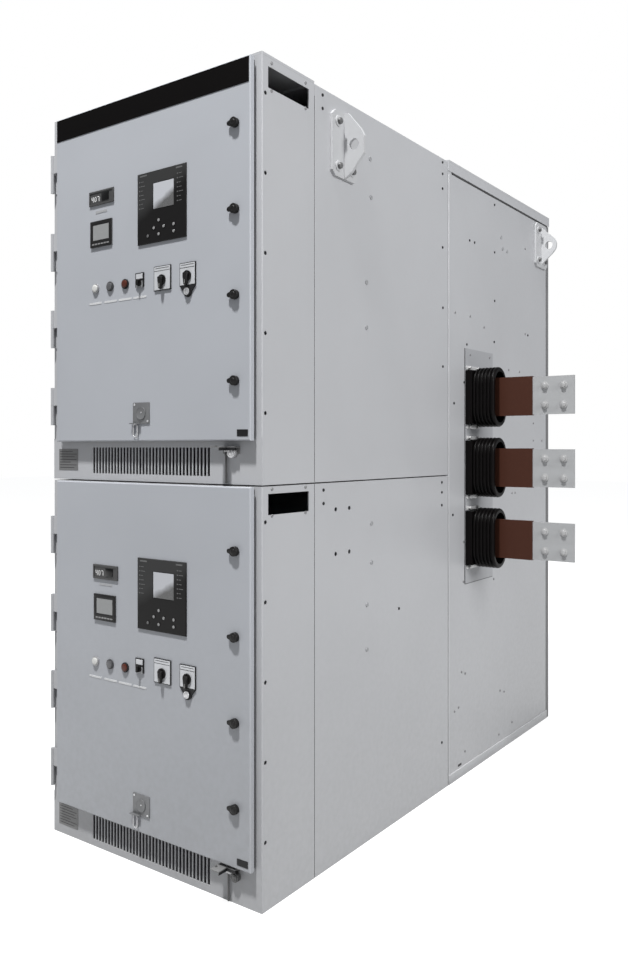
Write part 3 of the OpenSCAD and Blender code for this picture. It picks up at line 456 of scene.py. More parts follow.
# Switch plates and handles
# Two control switches and one selector stand beside the push buttons on each door. Each has a bright
# plate in a black rim, and a black moulded handle on a shaft through the door.
SELECTOR_X, CONTROL_X = -0.004, (0.095, 0.200)
SELECTOR_Z = {"lower": 0.507, "upper": 0.487}
CONTROL_Z = {"lower": 0.507, "upper": 0.485}
PLATE_T = 0.004
CONTROL_HALF = ((0.0355, 0.037), (0.032, 0.034))
CONTROL_RISE = 0.006
SELECTOR_LIGHT = ((0.0165, 0.0100), 0.0200)
SELECTOR_DIAL = (0.0165, 0.0125)
RIM = 0.0022
KEY_LOCK_DROP = 0.046
GRIP_BASE, GRIP_OUT, POINTER_HALF = 0.005, 0.0086, 0.0007


def brushed_effect():
    group, (place, tone, gloss, stain), out = effect(
        "brushed_metal", (("Tone", "Color"), ("Gloss", "Float"), ("Stain", "Float")))
    lines = node_in(group, "TexNoise", Vector=place, Scale=260.0, Detail=3.0, Roughness=0.6).outputs["Fac"]
    stains = node_in(group, "TexNoise", Vector=place, Scale=14.0, Detail=4.0, Roughness=0.6)
    dull = node_in(group, "HueSaturation", Value=0.6, Saturation=0.8, Color=tone)
    marks = maths(group, "MULTIPLY", ramped(group, stains.outputs["Fac"], 0.4, 0.7), stain)
    feed(group, blend_colour(group, marks, tone, dull.outputs["Color"]), out["Color"])
    feed(group, maths(group, "MULTIPLY_ADD", lines, 0.15, gloss), out["Roughness"])
    feed(group, lines, out["Height"])
    return group


BRUSHED = brushed_effect()


def brushed(name, tone, gloss, stain, metallic, depth=0.00003, stretch=(1, 1, 1)):
    """A metal of one tone, with fine lines and stains."""
    return finish_with(name, BRUSHED, {"Tone": (*tone, 1), "Gloss": gloss, "Stain": stain}, metallic, depth,
                       stretch=stretch)


plate_metal = brushed("brushed_plate", (0.6, 0.61, 0.63), 0.4, 0.15, 0.2, stretch=(0.2, 1, 3))
device_black = moulded("device_moulding", (0.016, 0.016, 0.017), 0.45, 0.3, depth=0.0001, specular=0.2)
dial_grey = brushed("dial_grey", (0.3, 0.305, 0.315), 0.4, 0.3, 0.2)
pointer_white = moulded("pointer_white", (0.42, 0.42, 0.41), 0.5, 0.1)
lock_chrome = brushed("lock_chrome", (0.62, 0.62, 0.63), 0.25, 0.2, 0.6, depth=0.00002)


def strip(low_x, high_x, low_z, high_z, y, edge=0.0002):
    """A thin plate with its corners and front edges rounded."""
    made = box((low_x, y - 0.0009, low_z), (high_x, y + 0.0002, high_z))
    round_corners(made, 0.0012)
    return round_off(made, edge, 1, 60)


def inlay(x, z, half):
    """The plate inside a rim."""
    wide, tall = half[0] - RIM, half[1] - RIM
    return strip(x - wide, x + wide, z - tall, z + tall, DOOR_Y - PLATE_T, 0.0003)


def handle(x, z, base_r, blade_top, blade_low, reach, length, above):
    """A round base with a blade across it, tapered to its lower end."""
    front = DOOR_Y - PLATE_T
    base = disc((x, front - GRIP_BASE, z), base_r, GRIP_BASE - 0.0003)
    pick(base, facing(FRONT))
    step(0.0015, (0, 0.0008, 0))
    round_off(base, 0.0007)
    blade = box((x - blade_top, front - GRIP_BASE - reach, z - length),
                (x + blade_top, front - GRIP_BASE + 0.001, z + above))
    pick(blade, facing((0, 0, -1)))
    bpy.ops.transform.resize(value=(blade_low / blade_top, 0.9, 1))
    round_corners(blade, blade_low * 0.8, 4)
    pick(blade, facing(FRONT, 0.7))
    bpy.ops.transform.resize(value=(0.85, 1, 0.95))
    round_off(blade, min(blade_low * 0.3, 0.0016), 2, 50)
    return joined([base, blade, switch_shaft(x, z, front, PLATE_T + DOOR_SHEET)])


def key_lock(x, z, front, radius):
    """A lock barrel: a rounded ring with a sunk face and a plug in it."""
    ring = disc((x, front, z), radius, 0.0042)
    pick(ring, facing(FRONT))
    step(radius * 0.28, (0, 0.0012, 0))
    step(radius * 0.12, (0, -0.001, 0))
    return round_off(ring, 0.0005)


for level, body, bottom in DOORS:
    coat_node(level + "_switch_plates", device_black)
    control_z = bottom + CONTROL_Z[level]
    selector_z = bottom + SELECTOR_Z[level]
    for number, (x, half) in enumerate(zip(CONTROL_X, CONTROL_HALF), 1):
        middle = control_z + CONTROL_RISE
        plate = inlay(x, middle, half)
        hand_over(plate, f"{level}_control_plate_{number}", plate_metal, body, "plate_silver")
        rules = [box((x - half[0] * share, DOOR_Y - PLATE_T - 0.0012, middle + half[1] - down),
                     (x + half[0] * share, DOOR_Y - PLATE_T - 0.0006, middle + half[1] - down + 0.0014))
                 for share, down in ((0.80, 0.0075), (0.92, 0.0155))]
        hand_over(joined(rules), f"{level}_control_rules_{number}", device_black, body, "black_panel")
        grip = handle(x, control_z, base_r=0.016, blade_top=0.010, blade_low=0.0055, reach=GRIP_OUT,
                      length=0.029, above=0.010)
        name = f"{level}_control_{number}"
        hand_over(grip, name + "_handle", knob_nylon, name, "black_plastic", name)
        grip_front = DOOR_Y - PLATE_T - GRIP_BASE - GRIP_OUT
        mark = box((x - POINTER_HALF, grip_front - 0.0003, control_z - 0.024),
                   (x + POINTER_HALF, grip_front + 0.001, control_z - 0.012))
        round_off(mark, 0.0002, 1)
        hand_over(mark, name + "_pointer", pointer_white, name, "plate_silver")
    lock = key_lock(CONTROL_X[1], control_z - KEY_LOCK_DROP, DOOR_Y - 2 * PLATE_T - 0.0022, 0.0108)
    hand_over(lock, level + "_key_lock", lock_chrome, body, "plate_silver")
    light, lift = SELECTOR_LIGHT
    plate = inlay(SELECTOR_X, selector_z + lift, light)
    hand_over(plate, level + "_selector_plate", plate_metal, body, "plate_silver")
    dial = inlay(SELECTOR_X, selector_z - 0.0045, SELECTOR_DIAL)
    hand_over(dial, level + "_selector_dial", dial_grey, body, "plate_silver")
    turner = handle(SELECTOR_X, selector_z, base_r=0.0105, blade_top=0.004, blade_low=0.004, reach=0.009,
                    length=0.010, above=0.010)
    name = level + "_selector"
    hand_over(turner, name + "_handle", knob_nylon, name, "black_plastic", name)

# Push buttons
# Three push buttons stand in a row on each door: white, clear grey and dark red. Each is a domed cap in
# a collar that screws to the contact block behind the door.
BUTTON_X = (-0.209, -0.140, -0.070)
BUTTON_Z = {"lower": 0.500, "upper": 0.491}
COLLAR_R, COLLAR_T, CAP_R, CAP_T = 0.0155, 0.0050, 0.0120, 0.0040
BLOCK_HALF, BLOCK_T = 0.014, 0.05

white_cap = moulded("cap_white", (0.62, 0.62, 0.6), 0.25, 0.05)
grey_cap = moulded("cap_grey", (0.1, 0.1, 0.105), 0.25, 0.1)
red_cap = moulded("cap_red", (0.085, 0.022, 0.014), 0.3, 0.05, specular=0.25)
collar_steel = brushed("collar_steel", (0.36, 0.36, 0.37), 0.25, 0.3, 0.4, depth=0.00002)
collar_dark = brushed("collar_dark", (0.06, 0.06, 0.062), 0.3, 0.3, 0.3, depth=0.00002)


def button_collar(x, z):
    ring = disc((x, DOOR_Y - COLLAR_T, z), COLLAR_R, COLLAR_T)
    pick(ring, facing(FRONT))
    step(COLLAR_R - CAP_R - 0.0004, (0, 0.0012, 0))
    return round_off(ring, 0.0007)


def button_cap(x, z):
    cap = disc((x, DOOR_Y - COLLAR_T - CAP_T + 0.0018, z), CAP_R, COLLAR_T + CAP_T - 0.002)
    for thickness, out in ((0.0010, -0.0009), (0.003, -0.0006), (0.003, -0.0003)):
        pick(cap, facing(FRONT, 0.99))
        bpy.ops.mesh.inset(thickness=thickness, depth=0)
        bpy.ops.transform.translate(value=(0, out, 0))
    return round_off(cap, 0.0004, 2, 60)


for level, body, bottom in DOORS:
    z = bottom + BUTTON_Z[level]
    blocks = []
    for x in BUTTON_X:
        back = DOOR_Y + DOOR_SHEET
        block = box((x - BLOCK_HALF, back, z - BLOCK_HALF), (x + BLOCK_HALF, back + BLOCK_T, z + BLOCK_HALF))
        pick(block, facing((0, 1, 0)))
        step(0.004, (0, -0.006, 0))
        round_off(block, 0.001)
        stem = disc((x, DOOR_Y - SHAFT_SUNK, z), CAP_R - 0.0005, SHAFT_SUNK + DOOR_SHEET + SHAFT_PAST)
        blocks += [block, stem]
    hand_over(joined(blocks), level + "_contact_blocks", device_black, body, "button_parts",
              level + "_buttons")
    for x, title, ring_finish, cap_finish in zip(
            BUTTON_X, ("white", "grey", "red"), (collar_steel, collar_dark, device_black),
            (white_cap, grey_cap, red_cap)):
        hand_over(button_collar(x, z), f"{level}_{title}_collar", ring_finish, body, "button_parts")
        hand_over(button_cap(x, z), f"{level}_{title}_button", cap_finish, body, "button_parts")

# Relays
# A protection relay fills the middle of each door: a black moulded bezel with a faint painted reflection,
# a sunk screen with a pale painted reflection over half of it, a round of four keys with three beside it,
# and small marks at both sides.
RELAY_X = -0.012
RELAY_Z = {"lower": 0.630, "upper": 0.602}
SCREEN = (0.068, 0.100, 0.089, 0.081)
KEYS = ((115, 44), (94, 65), (73, 44), (94, 23), (157, 44), (157, 23))
DARK_KEY = ((47, 23),)
KEY_R, KEY_T = 0.0046, 0.0009
BEZEL_T = 0.005
MARK_ROWS, MARK_TOP, MARK_PITCH, LONG_MARKS = 7, 0.190, 0.0135, (0.012, 0.018, 0.009)
REFLECTION_SLOPE, REFLECTION_RIPPLE = -0.5, 0.014

bezel_black = moulded("bezel_moulding", (0.011, 0.0105, 0.0105), 0.42, 0.15, depth=0.00008, specular=0.22)
key_grey = moulded("key_print", (0.26, 0.26, 0.26), 0.4, 0.3)
faint_print = moulded("faint_print", (0.11, 0.11, 0.11), 0.5, 0.2)


# Painted reflection: a mask that rises across a diagonal through a corner, with a slight ripple.
def painted_reflection_effect():
    group, (place, corner, soft), out = effect(
        "painted_reflection_mask", (("Corner", "Vector"), ("Soft", "Float")), (("Factor", "Float"),))
    local = node_in(group, "VectorMath", operation="SUBTRACT")
    feed(group, place, local.inputs[0])
    feed(group, corner, local.inputs[1])
    split = node_in(group, "SeparateXYZ", Vector=local.outputs["Vector"])
    fall = maths(group, "MULTIPLY_ADD", split.outputs["X"], REFLECTION_SLOPE, split.outputs["Z"])
    ripple = node_in(group, "TexNoise", Vector=local.outputs["Vector"], Scale=45.0, Detail=3.0)
    wavy = maths(group, "MULTIPLY_ADD", ripple.outputs["Fac"], REFLECTION_RIPPLE, fall)
    feed(group, ramped(group, wavy, 0.0, soft), out["Factor"])
    return group


PAINTED_REFLECTION = painted_reflection_effect()


def with_painted_reflection(made, corner, pale, soft):
    """Paints a reflection of the room into a finish's colour, above a diagonal through a point."""
    tree = made.node_tree
    shader = tree.nodes["Principled BSDF"]
    under = shader.inputs["Base Color"].links[0].from_socket
    place = node_in(tree, "TexCoord")
    reflection_mask = node_in(tree, "Group", node_tree=PAINTED_REFLECTION, Vector=place.outputs["Object"], Corner=corner, Soft=soft)
    feed(tree, blend_colour(tree, reflection_mask.outputs["Factor"], under, pale), shader.inputs["Base Color"])
    return made


def screen_finish(name, corner):
    """A grey dotted screen with a pale painted reflection over it."""
    made = bpy.data.materials.new(name)
    made.use_nodes = True
    tree = made.node_tree
    shader = tree.nodes["Principled BSDF"]
    shader.inputs["Roughness"].default_value = 0.2
    shader.inputs["Specular IOR Level"].default_value = 0.3
    place = node_in(tree, "TexCoord")
    weave = node_in(tree, "TexChecker", Vector=place.outputs["Object"], Scale=900.0)
    dots = blend_colour(tree, weave.outputs["Fac"], (0.09, 0.09, 0.09, 1), (0.16, 0.16, 0.16, 1))
    feed(tree, dots, shader.inputs["Base Color"])
    return with_painted_reflection(made, corner, (0.5, 0.51, 0.54, 1), 0.022)


for level, body, bottom in DOORS:
    low_x, low_z, face = RELAY_X, bottom + RELAY_Z[level], DOOR_Y - BEZEL_T
    left, foot, wide, tall = SCREEN
    middle = (low_x + left + wide / 2, 0, low_z + foot + 0.024)
    # A faint painted reflection lightens the bezel's colour above a diagonal through the screen's middle.
    bezel = moulded(level + "_relay_moulding", (0.008, 0.0075, 0.0075), 0.42, 0.15, depth=0.00008,
                    specular=0.15)
    coat_node(level + "_relay", with_painted_reflection(bezel, middle, (0.036, 0.036, 0.036, 1), 0.05))
    pane = box((low_x + left + 0.0015, face + 0.0004, low_z + foot + 0.0015),
               (low_x + left + wide - 0.0015, face + 0.0019, low_z + foot + tall - 0.0015))
    round_off(pane, 0.0004, 1)
    hand_over(pane, level + "_relay_screen", screen_finish(level + "_screen", middle), body, "black_panel")
    for title, places, finish in (("keys", KEYS, key_grey), ("dark_key", DARK_KEY, faint_print)):
        caps = [disc((low_x + x / 1000, face - 2 * KEY_T, low_z + z / 1000), KEY_R, KEY_T, 20)
                for x, z in places]
        for cap in caps:
            round_off(cap, 0.0003, 1)
        hand_over(joined(caps), f"{level}_relay_{title}", finish, body, "black_panel")
    marks = []
    for row in range(MARK_ROWS):
        z = low_z + MARK_TOP - row * MARK_PITCH
        long_mark = LONG_MARKS[row % 3]
        for x in (low_x + 0.009, low_x + 0.170):
            marks.append(box((x, face - 0.0004, z), (x + 0.004, face + 0.0002, z + 0.0035)))
            marks.append(box((x + 0.007, face - 0.0003, z + 0.0008),
                             (x + 0.007 + long_mark, face + 0.0002, z + 0.0026)))
    for x, long_mark in ((low_x + 0.012, 0.03), (low_x + 0.166, 0.026)):
        marks.append(box((x, face - 0.0004, low_z + 0.207), (x + long_mark, face + 0.0002, low_z + 0.2115)))
    strips = round_off(joined(marks), 0.0001, 1)
    hand_over(strips, level + "_relay_marks", faint_print, body, "black_panel")

# Meters and displays
# Left of the relay are a counter with three white digits beside a dark window, and a small square
# display with a grey pane. Both have dark moulded bezels and snap into cut-outs in the door.
METER_X = {"lower": -0.220, "upper": -0.239}
METER_Z = {"lower": 0.766, "upper": 0.758}
DISPLAY_X = {"lower": -0.215, "upper": -0.232}
DISPLAY_Z = {"lower": 0.634, "upper": 0.623}
DISPLAY_SIZE, DISPLAY_RIM, DISPLAY_FOOT = (0.101, 0.084), 0.012, 0.021
DIGIT = (0.0095, 0.0165, 0.0026)
DIGIT_PITCH, DASH_PITCH, DASH_W = 0.0138, 0.0138, 0.0105
SEGMENTS = {"4": "bcfg", "0": "abcdef", "7": "abc"}

meter_grey = moulded("meter_moulding", (0.06, 0.06, 0.06), 0.4, 0.2, depth=0.00008, specular=0.3)
window_black = moulded("window_black", (0.005, 0.005, 0.005), 0.15, 0.05, depth=0.00002, specular=0.25)
pane_grey = moulded("pane_grey", (0.285, 0.29, 0.29), 0.2, 0.08, depth=0.00002, specular=0.3)
digit_white = moulded("digit_white", (0.78, 0.78, 0.78), 0.5, 0.0, depth=0.00002)


def digit(figure, x, y, z):
    """One figure made of flat bars, as on a segment display."""
    w, h, t = DIGIT
    half = h / 2
    bars = {"a": (0, h - t, w, h), "b": (w - t, half, w, h), "c": (w - t, 0, w, half), "d": (0, 0, w, t),
            "e": (0, 0, t, half), "f": (0, half, t, h), "g": (0, half - t / 2, w, half + t / 2)}
    return [box((x + bars[s][0], y, z + bars[s][1]), (x + bars[s][2], y + 0.0006, z + bars[s][3]))
            for s in SEGMENTS[figure]]


def display_bezel(x, z, face):
    """A moulded frame whose sunk window stands higher above its foot than from its other edges."""
    wide, tall = DISPLAY_SIZE
    front = face - 0.0006
    made = box((x + 0.0002, front, z + 0.0002), (x + wide - 0.0002, face + 0.004, z + tall - 0.0002))
    pick(made, facing(FRONT))
    bpy.ops.mesh.inset(thickness=DISPLAY_RIM, depth=0)
    inner_foot = z + DISPLAY_RIM + 0.0002
    pick(made, lambda edge: all(abs(v.co.z - inner_foot) < 0.001 and v.co.y < front + 0.001
                                for v in edge.verts), "EDGE")
    bpy.ops.transform.translate(value=(0, 0, DISPLAY_FOOT - DISPLAY_RIM))
    middle = Vector((x + wide / 2, front, z + (tall - DISPLAY_RIM + DISPLAY_FOOT) / 2))
    pick(made, lambda face_: (face_.calc_center_median() - middle).length < 0.003)
    bpy.ops.mesh.extrude_region_move(TRANSFORM_OT_translate={"value": (0, 0.0022, 0)})
    return round_off(made, 0.0008)


for level, body, bottom in DOORS:
    face = DOOR_Y - BEZEL_T
    coat_node(level + "_meters", meter_grey)
    x, z = METER_X[level], bottom + METER_Z[level]
    window = box((x + 0.060, face + 0.0003, z + 0.011), (x + 0.094, face + 0.0019, z + 0.036))
    round_off(window, 0.0006)
    hand_over(window, level + "_meter_window", window_black, body, "black_panel")
    figures = []
    for place, figure in enumerate("407"):
        figures += digit(figure, x + 0.0125 + place * DIGIT_PITCH, face + 0.0013, z + 0.0115)
    shown = round_off(joined(figures), 0.0002, 1)
    hand_over(shown, level + "_meter_digits", digit_white, body, "black_panel")
    x, z = DISPLAY_X[level], bottom + DISPLAY_Z[level]
    hand_over(display_bezel(x, z, face), level + "_display_rim", bezel_black, body, "black_panel")
    wide, tall = DISPLAY_SIZE
    pane = box((x + DISPLAY_RIM + 0.001, face + 0.0004, z + DISPLAY_FOOT + 0.001),
               (x + wide - DISPLAY_RIM - 0.001, face + 0.0017, z + tall - DISPLAY_RIM - 0.001))
    round_off(pane, 0.0004, 1)
    hand_over(pane, level + "_display_pane", pane_grey, body, "black_panel")
    dashes = [box((x + 0.010 + place * DASH_PITCH, face - 0.0009, z + 0.0075),
                  (x + 0.010 + place * DASH_PITCH + DASH_W, face - 0.0004, z + 0.0115))
              for place in range(6)]
    mark = round_off(joined(dashes), 0.0001, 1)
    hand_over(mark, level + "_display_marks", key_grey, body, "black_panel")

# Label strips and rating plates
# Plain bright strips mark the devices, a small black strip sits at each door's lower corner, and a
# ruled metal plate sits low on the frame. All of them are bare.
STRIP_X = (-0.212, -0.140, -0.072, -0.006)
STRIP_Z = {"lower": 0.449, "upper": 0.4435}
STRIP_HALF = (0.0290, 0.0031)
METER_STRIP = {"lower": (-0.192, -0.132, 0.746, 0.753), "upper": (-0.2106, -0.157, 0.732, 0.740)}
CORNER_LABEL = (0.3885, 0.429, 0.012, 0.0315)
BASES = {"lower": 0.0, "upper": 1.198}
RATING_PLATE = (-0.430, -0.332, 0.030, 0.101)
RATING_RULES = (
    (0.092, 0.02), (0.083, 0), (0.074, 0.01), (0.065, 0), (0.056, 0.03), (0.047, 0), (0.038, 0.012),
)

label_bright = moulded("label_bright", (0.6, 0.605, 0.61), 0.35, 0.1)
label_dull = moulded("label_dull", (0.36, 0.365, 0.375), 0.4, 0.2)
label_black = moulded("label_black", (0.008, 0.008, 0.009), 0.4, 0.3, specular=0.2)
rating_metal = brushed("rating_plate_metal", (0.17, 0.17, 0.17), 0.4, 0.3, 0.2, stretch=(0.3, 1, 2))

for level, body, bottom in DOORS:
    z = bottom + STRIP_Z[level]
    tags = [strip(x - STRIP_HALF[0], x + STRIP_HALF[0], z - STRIP_HALF[1], z + STRIP_HALF[1], DOOR_Y)
            for x in STRIP_X]
    hand_over(joined(tags), level + "_label_strips", label_bright, body, "plate_silver")
    low_x, high_x, low_z, high_z = METER_STRIP[level]
    tag = strip(low_x, high_x, bottom + low_z, bottom + high_z, DOOR_Y)
    hand_over(tag, level + "_meter_strip", label_dull, body, "plate_silver")
    low_x, high_x, low_z, high_z = CORNER_LABEL
    corner = strip(low_x, high_x, bottom + low_z, bottom + high_z, DOOR_Y)
    hand_over(corner, level + "_corner_label", label_black, body, "black_panel")
    base = BASES[level]
    low_x, high_x, low_z, high_z = RATING_PLATE
    rating = strip(low_x, high_x, base + low_z, base + high_z, FRAME_Y)
    hand_over(rating, level + "_rating_plate", rating_metal)
    rules = [box((-0.424, FRAME_Y - 0.0012, base + z), (-0.339 - cut, FRAME_Y - 0.0006, base + z + 0.0016))
             for z, cut in RATING_RULES]
    hand_over(joined(rules), level + "_rating_rules", device_black)

# Ports
# Low on each door is a square steel plate over the racking port, with a round cover disc, a lip at its
# lower left corner, rivets in the disc and two corners, and a wire link that hangs from the lip.
PORT_X = 0.002
PORT_Z = {"lower": 0.087, "upper": 0.086}
PORT_HALF, PORT_T = (0.0365, 0.033), 0.003
LIP_X, LIP_W, LIP_OUT = -0.0435, 0.042, 0.012
LINK_HALF, LINK_L, WIRE_R = 0.011, 0.046, 0.0024
RIVETS = ((-0.029, 0.026, 0.0036, 0.0046), (0.029, -0.025, 0.0036, 0.0046), (0.003, 0.002, 0.0024, 0.0064))
RIVET_T = 0.0018

port_steel = brushed("port_steel", (0.185, 0.188, 0.192), 0.4, 0.5, 0.25, depth=0.00004)
wire_steel = brushed("wire_steel", (0.5, 0.5, 0.51), 0.35, 0.3, 0.4, depth=0.00004)


def port_plate(x, z):
    plate = box((x - PORT_HALF[0], DOOR_Y - PORT_T, z - PORT_HALF[1]),
                (x + PORT_HALF[0], DOOR_Y, z + PORT_HALF[1]))
    round_corners(plate, 0.002)
    round_off(plate, 0.0006, 2, 60)
    cover = disc((x, DOOR_Y - 2 * PORT_T, z), 0.020, PORT_T + 0.001, 48)
    pick(cover, facing(FRONT))
    step(0.003, (0, 0.0008, 0))
    round_off(cover, 0.0005)
    foot = z - PORT_HALF[1]
    lip = box((x + LIP_X, DOOR_Y - LIP_OUT, foot), (x + LIP_X + LIP_W, DOOR_Y - 0.001, foot + PORT_T))
    round_off(lip, 0.0008)
    return joined([plate, cover, lip])


def port_link(x, z):
    """A wire ring drawn out to an upright oval."""
    unselect()
    bpy.ops.mesh.primitive_torus_add(
        location=(x, DOOR_Y - PORT_T - WIRE_R, z), rotation=FORWARD, major_segments=32, minor_segments=12,
        major_radius=LINK_HALF - WIRE_R, minor_radius=WIRE_R)
    made = placed()
    stretch = LINK_L / 2 - LINK_HALF
    for way in (1, -1):
        pick(made, lambda face: way * (face.calc_center_median().z - z) > 0)
        bpy.ops.transform.translate(value=(0, 0, way * stretch))
    select(made)
    bpy.ops.object.shade_smooth()
    return made


for level, body, bottom in DOORS:
    z = bottom + PORT_Z[level]
    hand_over(port_plate(PORT_X, z), level + "_port_plate", port_steel, body, "plate_silver",
              level + "_port")
    link_z = z - PORT_HALF[1] + PORT_T - LINK_L / 2
    link = port_link(PORT_X + LIP_X + LIP_W / 2, link_z)
    hand_over(link, level + "_port_link", wire_steel, body, "plate_silver")
    rivets = [round_off(disc((PORT_X + x, DOOR_Y - out, z + dz), radius, RIVET_T, 20), radius * 0.3, 3)
              for x, dz, radius, out in RIVETS]
    hand_over(joined(rivets), level + "_port_rivets", lock_chrome, body, "plate_silver")

# Interlocks
# Under each door a dull plated shelf carries the interlock: a dark rod runs down from it to the next
# module, and a short lever joins the rod to a key lock. The lower lock is painted dark as shade, and
# black strips along the shelf's cut corner are painted shade.
SHELF_Z = 0.106
NOTCH = (0.346, 0.377, -0.057, -0.022)
SHADE_STRIP_W, SHADE_STRIP_DEEP = 0.0034, 0.0082
ROD_Y, ROD_R = FRAME_Y - 0.006, 0.0029
RODS = {"lower": 0.338, "upper": 0.329}
LOCKS = {"lower": (0.367, 0.082), "upper": (0.354, 0.091)}

plated = brushed("zinc_plate", (0.2, 0.2, 0.2), 0.45, 0.4, 0.2, depth=0.00004)
rod_dark = brushed("rod_steel", (0.09, 0.09, 0.09), 0.4, 0.3, 0.3)
coat_node("interlocks", plated)


def upright(x, y, low, high, radius):
    """A round bar along Z."""
    return round_off(bar((x, y, (low + high) / 2), radius, high - low, 20), radius * 0.2)


for level, base in BASES.items():
    shelf = base + SHELF_Z
    left, right, out, back = NOTCH
    left -= SHADE_STRIP_W
    back += FRAME_Y
    foot, top = shelf - SHADE_STRIP_DEEP, shelf + 0.0004
    # Painted shade: black strips along the edges of the shelf's notch.
    shade_strips = [box((left, FRAME_Y + out + 0.0003, foot), (left + SHADE_STRIP_W + 0.0003, back + 0.0032, top)),
              box((left, back - 0.0003, foot), (right + 0.0002, back + 0.0032, top))]
    for piece in shade_strips:
        round_off(piece, 0.0003, 1)
    hand_over(joined(shade_strips), level + "_shelf_shade_strips", device_black)
    head = upright(0.319, FRAME_Y - 0.038, shelf + 0.0028, shelf + 0.0052, 0.004)
    hand_over(head, level + "_shelf_screw", rod_dark)
    x, z = LOCKS[level]
    z += base
    rod = [upright(RODS[level], ROD_Y, base + 0.0036, shelf, ROD_R),
           upright(RODS[level], ROD_Y, shelf - 0.024, shelf - 0.016, 0.0046)]
    hand_over(joined(rod), level + "_interlock_rod", rod_dark)
    lever = box((RODS[level] - 0.004, FRAME_Y - 0.0115, z + 0.003), (x, FRAME_Y - 0.009, z + 0.0085))
    round_off(lever, 0.0006)
    hand_over(lever, level + "_interlock_lever", wire_steel)
    # Painted shade: the lower lock takes the dark rod steel, the upper one chrome.
    lock_finish_lower_shaded = rod_dark if level == "lower" else lock_chrome
    sleeve = disc((x, FRAME_Y - 0.0155, z), 0.0144, 0.0125, 40)
    round_off(sleeve, 0.0012)
    hand_over(sleeve, level + "_interlock_lock", lock_finish_lower_shaded)
    barrel = key_lock(x, z, FRAME_Y - 0.0187, 0.0105)
    hand_over(barrel, level + "_interlock_barrel", lock_finish_lower_shaded)

# Side screws
# Small pan-head screws close the wireway covers, join the sheets and pin the inner brackets on the
# right side. The heads are zinc plated or black, and plugs fill spare holes, painted a darker grey as
# the shade of a recess.
ZINC_SCREWS = (
    (42, 2392), (204, 2392), (42, 2314), (204, 2316), (44, 1186), (204, 1186), (44, 1110), (204, 1110),
    (1896, 2211), (1896, 1822), (1190, 1831), (1323, 1832), (1456, 1803), (1263, 928), (1263, 769),
    (1246, 413), (1710, 1644), (1830, 1644), (1994, 1416), (1994, 1335), (2102, 1336), (1747, 1102),
    (1781, 1101), (1552, 744), (1278, 401), (1618, 255), (1660, 241), (1185, 272), (1220, 279),
    (1746, 86), (1606, 69), (1278, 91),
)
BLACK_SCREWS = (
    (292, 2385), (292, 2344), (297, 1173), (297, 1132), (1084, 2390), (1084, 2346), (1084, 2290),
    (1084, 2066), (1086, 1836), (1086, 1612), (1078, 1171), (1078, 1133), (1078, 1084), (1319, 2138),
    (1365, 2138), (1561, 2336), (1561, 2134), (1561, 1927), (1293, 1716), (1556, 1752), (1268, 1563),
    (1180, 1476), (1170, 1041), (1928, 1819), (1078, 181), (755, 740),
)
HOLE_PLUGS = (
    (566, 2263), (572, 2136), (544, 1849), (544, 1700), (1644, 2164), (1693, 2162), (1629, 2211),
    (575, 1051), (575, 921), (547, 784), (547, 636),
)
PLATE_SCREWS = ((1318, 1676), (1504, 1680))
SIDEWAYS = (0, math.radians(90), 0)
SCREW_SUNK = 0.0005
MOUNTING_T = 0.003


def side_screw(radius, out):
    """A round head with a recess, on the right side at the front frame's foot."""
    made = bar((SIDE_X + (out - SCREW_SUNK) / 2, 0, 0), radius, out + SCREW_SUNK, 20, SIDEWAYS)
    pick(made, facing((1, 0, 0)))
    step(radius * 0.5, (-0.0012, 0, 0))
    return round_off(made, 0.0007)


def side_row(source, name, places, finish, out=0.0):
    """Copies of one head at places given as (y, z) in millimetres behind the front frame."""
    heads = [moved_copy(source, (out, y / 1000 + FRAME_Y, z / 1000)) for y, z in places]
    hand_over(joined(heads), name, finish)


screw_zinc = brushed("screw_zinc", (0.27, 0.27, 0.275), 0.4, 0.4, 0.4)
# Painted shade: the plugs are a darker grey, so that they read as recessed.
plug_shade_paint = painted("plug_shade_paint", (0.33, 0.335, 0.345, 1), 0.1)
first_screw, first_plug = side_screw(0.005, 0.0022), side_screw(0.008, 0.0024)
side_row(first_screw, "side_screws_zinc", ZINC_SCREWS, screw_zinc)
side_row(first_screw, "side_screws_black", BLACK_SCREWS, device_black)
side_row(first_screw, "mounting_plate_screws", PLATE_SCREWS, screw_zinc, MOUNTING_T)
side_row(first_plug, "side_hole_plugs", HOLE_PLUGS, plug_shade_paint)
bpy.data.objects.remove(first_screw)
bpy.data.objects.remove(first_plug)

# Lifting lugs
# Four steel lugs are bolted to the sides with large washers. Each is a plate with a fin welded across
# it, drilled for a shackle, and painted with the cabinet.
LUG_Z = 2.255
LUG_Y = (FRAME_Y + 0.403, FRAME_Y + 2.075)
LUG_BASE, LUG_BOLT_Y, LUG_BOLT_Z, WASHER_T = 0.010, 0.0385, 0.07, 0.003

lug_paint = painted("lug_powder_coat", (0.475, 0.48, 0.49, 1), 0.2)
coat_node("lifting_lugs", lug_paint)


def side_bolt(y, z, side, base, washer=0.017, across=0.0105, head=0.009):
    """A washer and the hex head on it, on a face that looks to one side."""
    return [round_off(bar((side * (base + start + thick / 2), y, z), radius, thick, sides, SIDEWAYS),
                      0.0009, 2, 30)
            for radius, thick, start, sides in ((washer, WASHER_T, 0, 32), (across, head, WASHER_T, 6))]


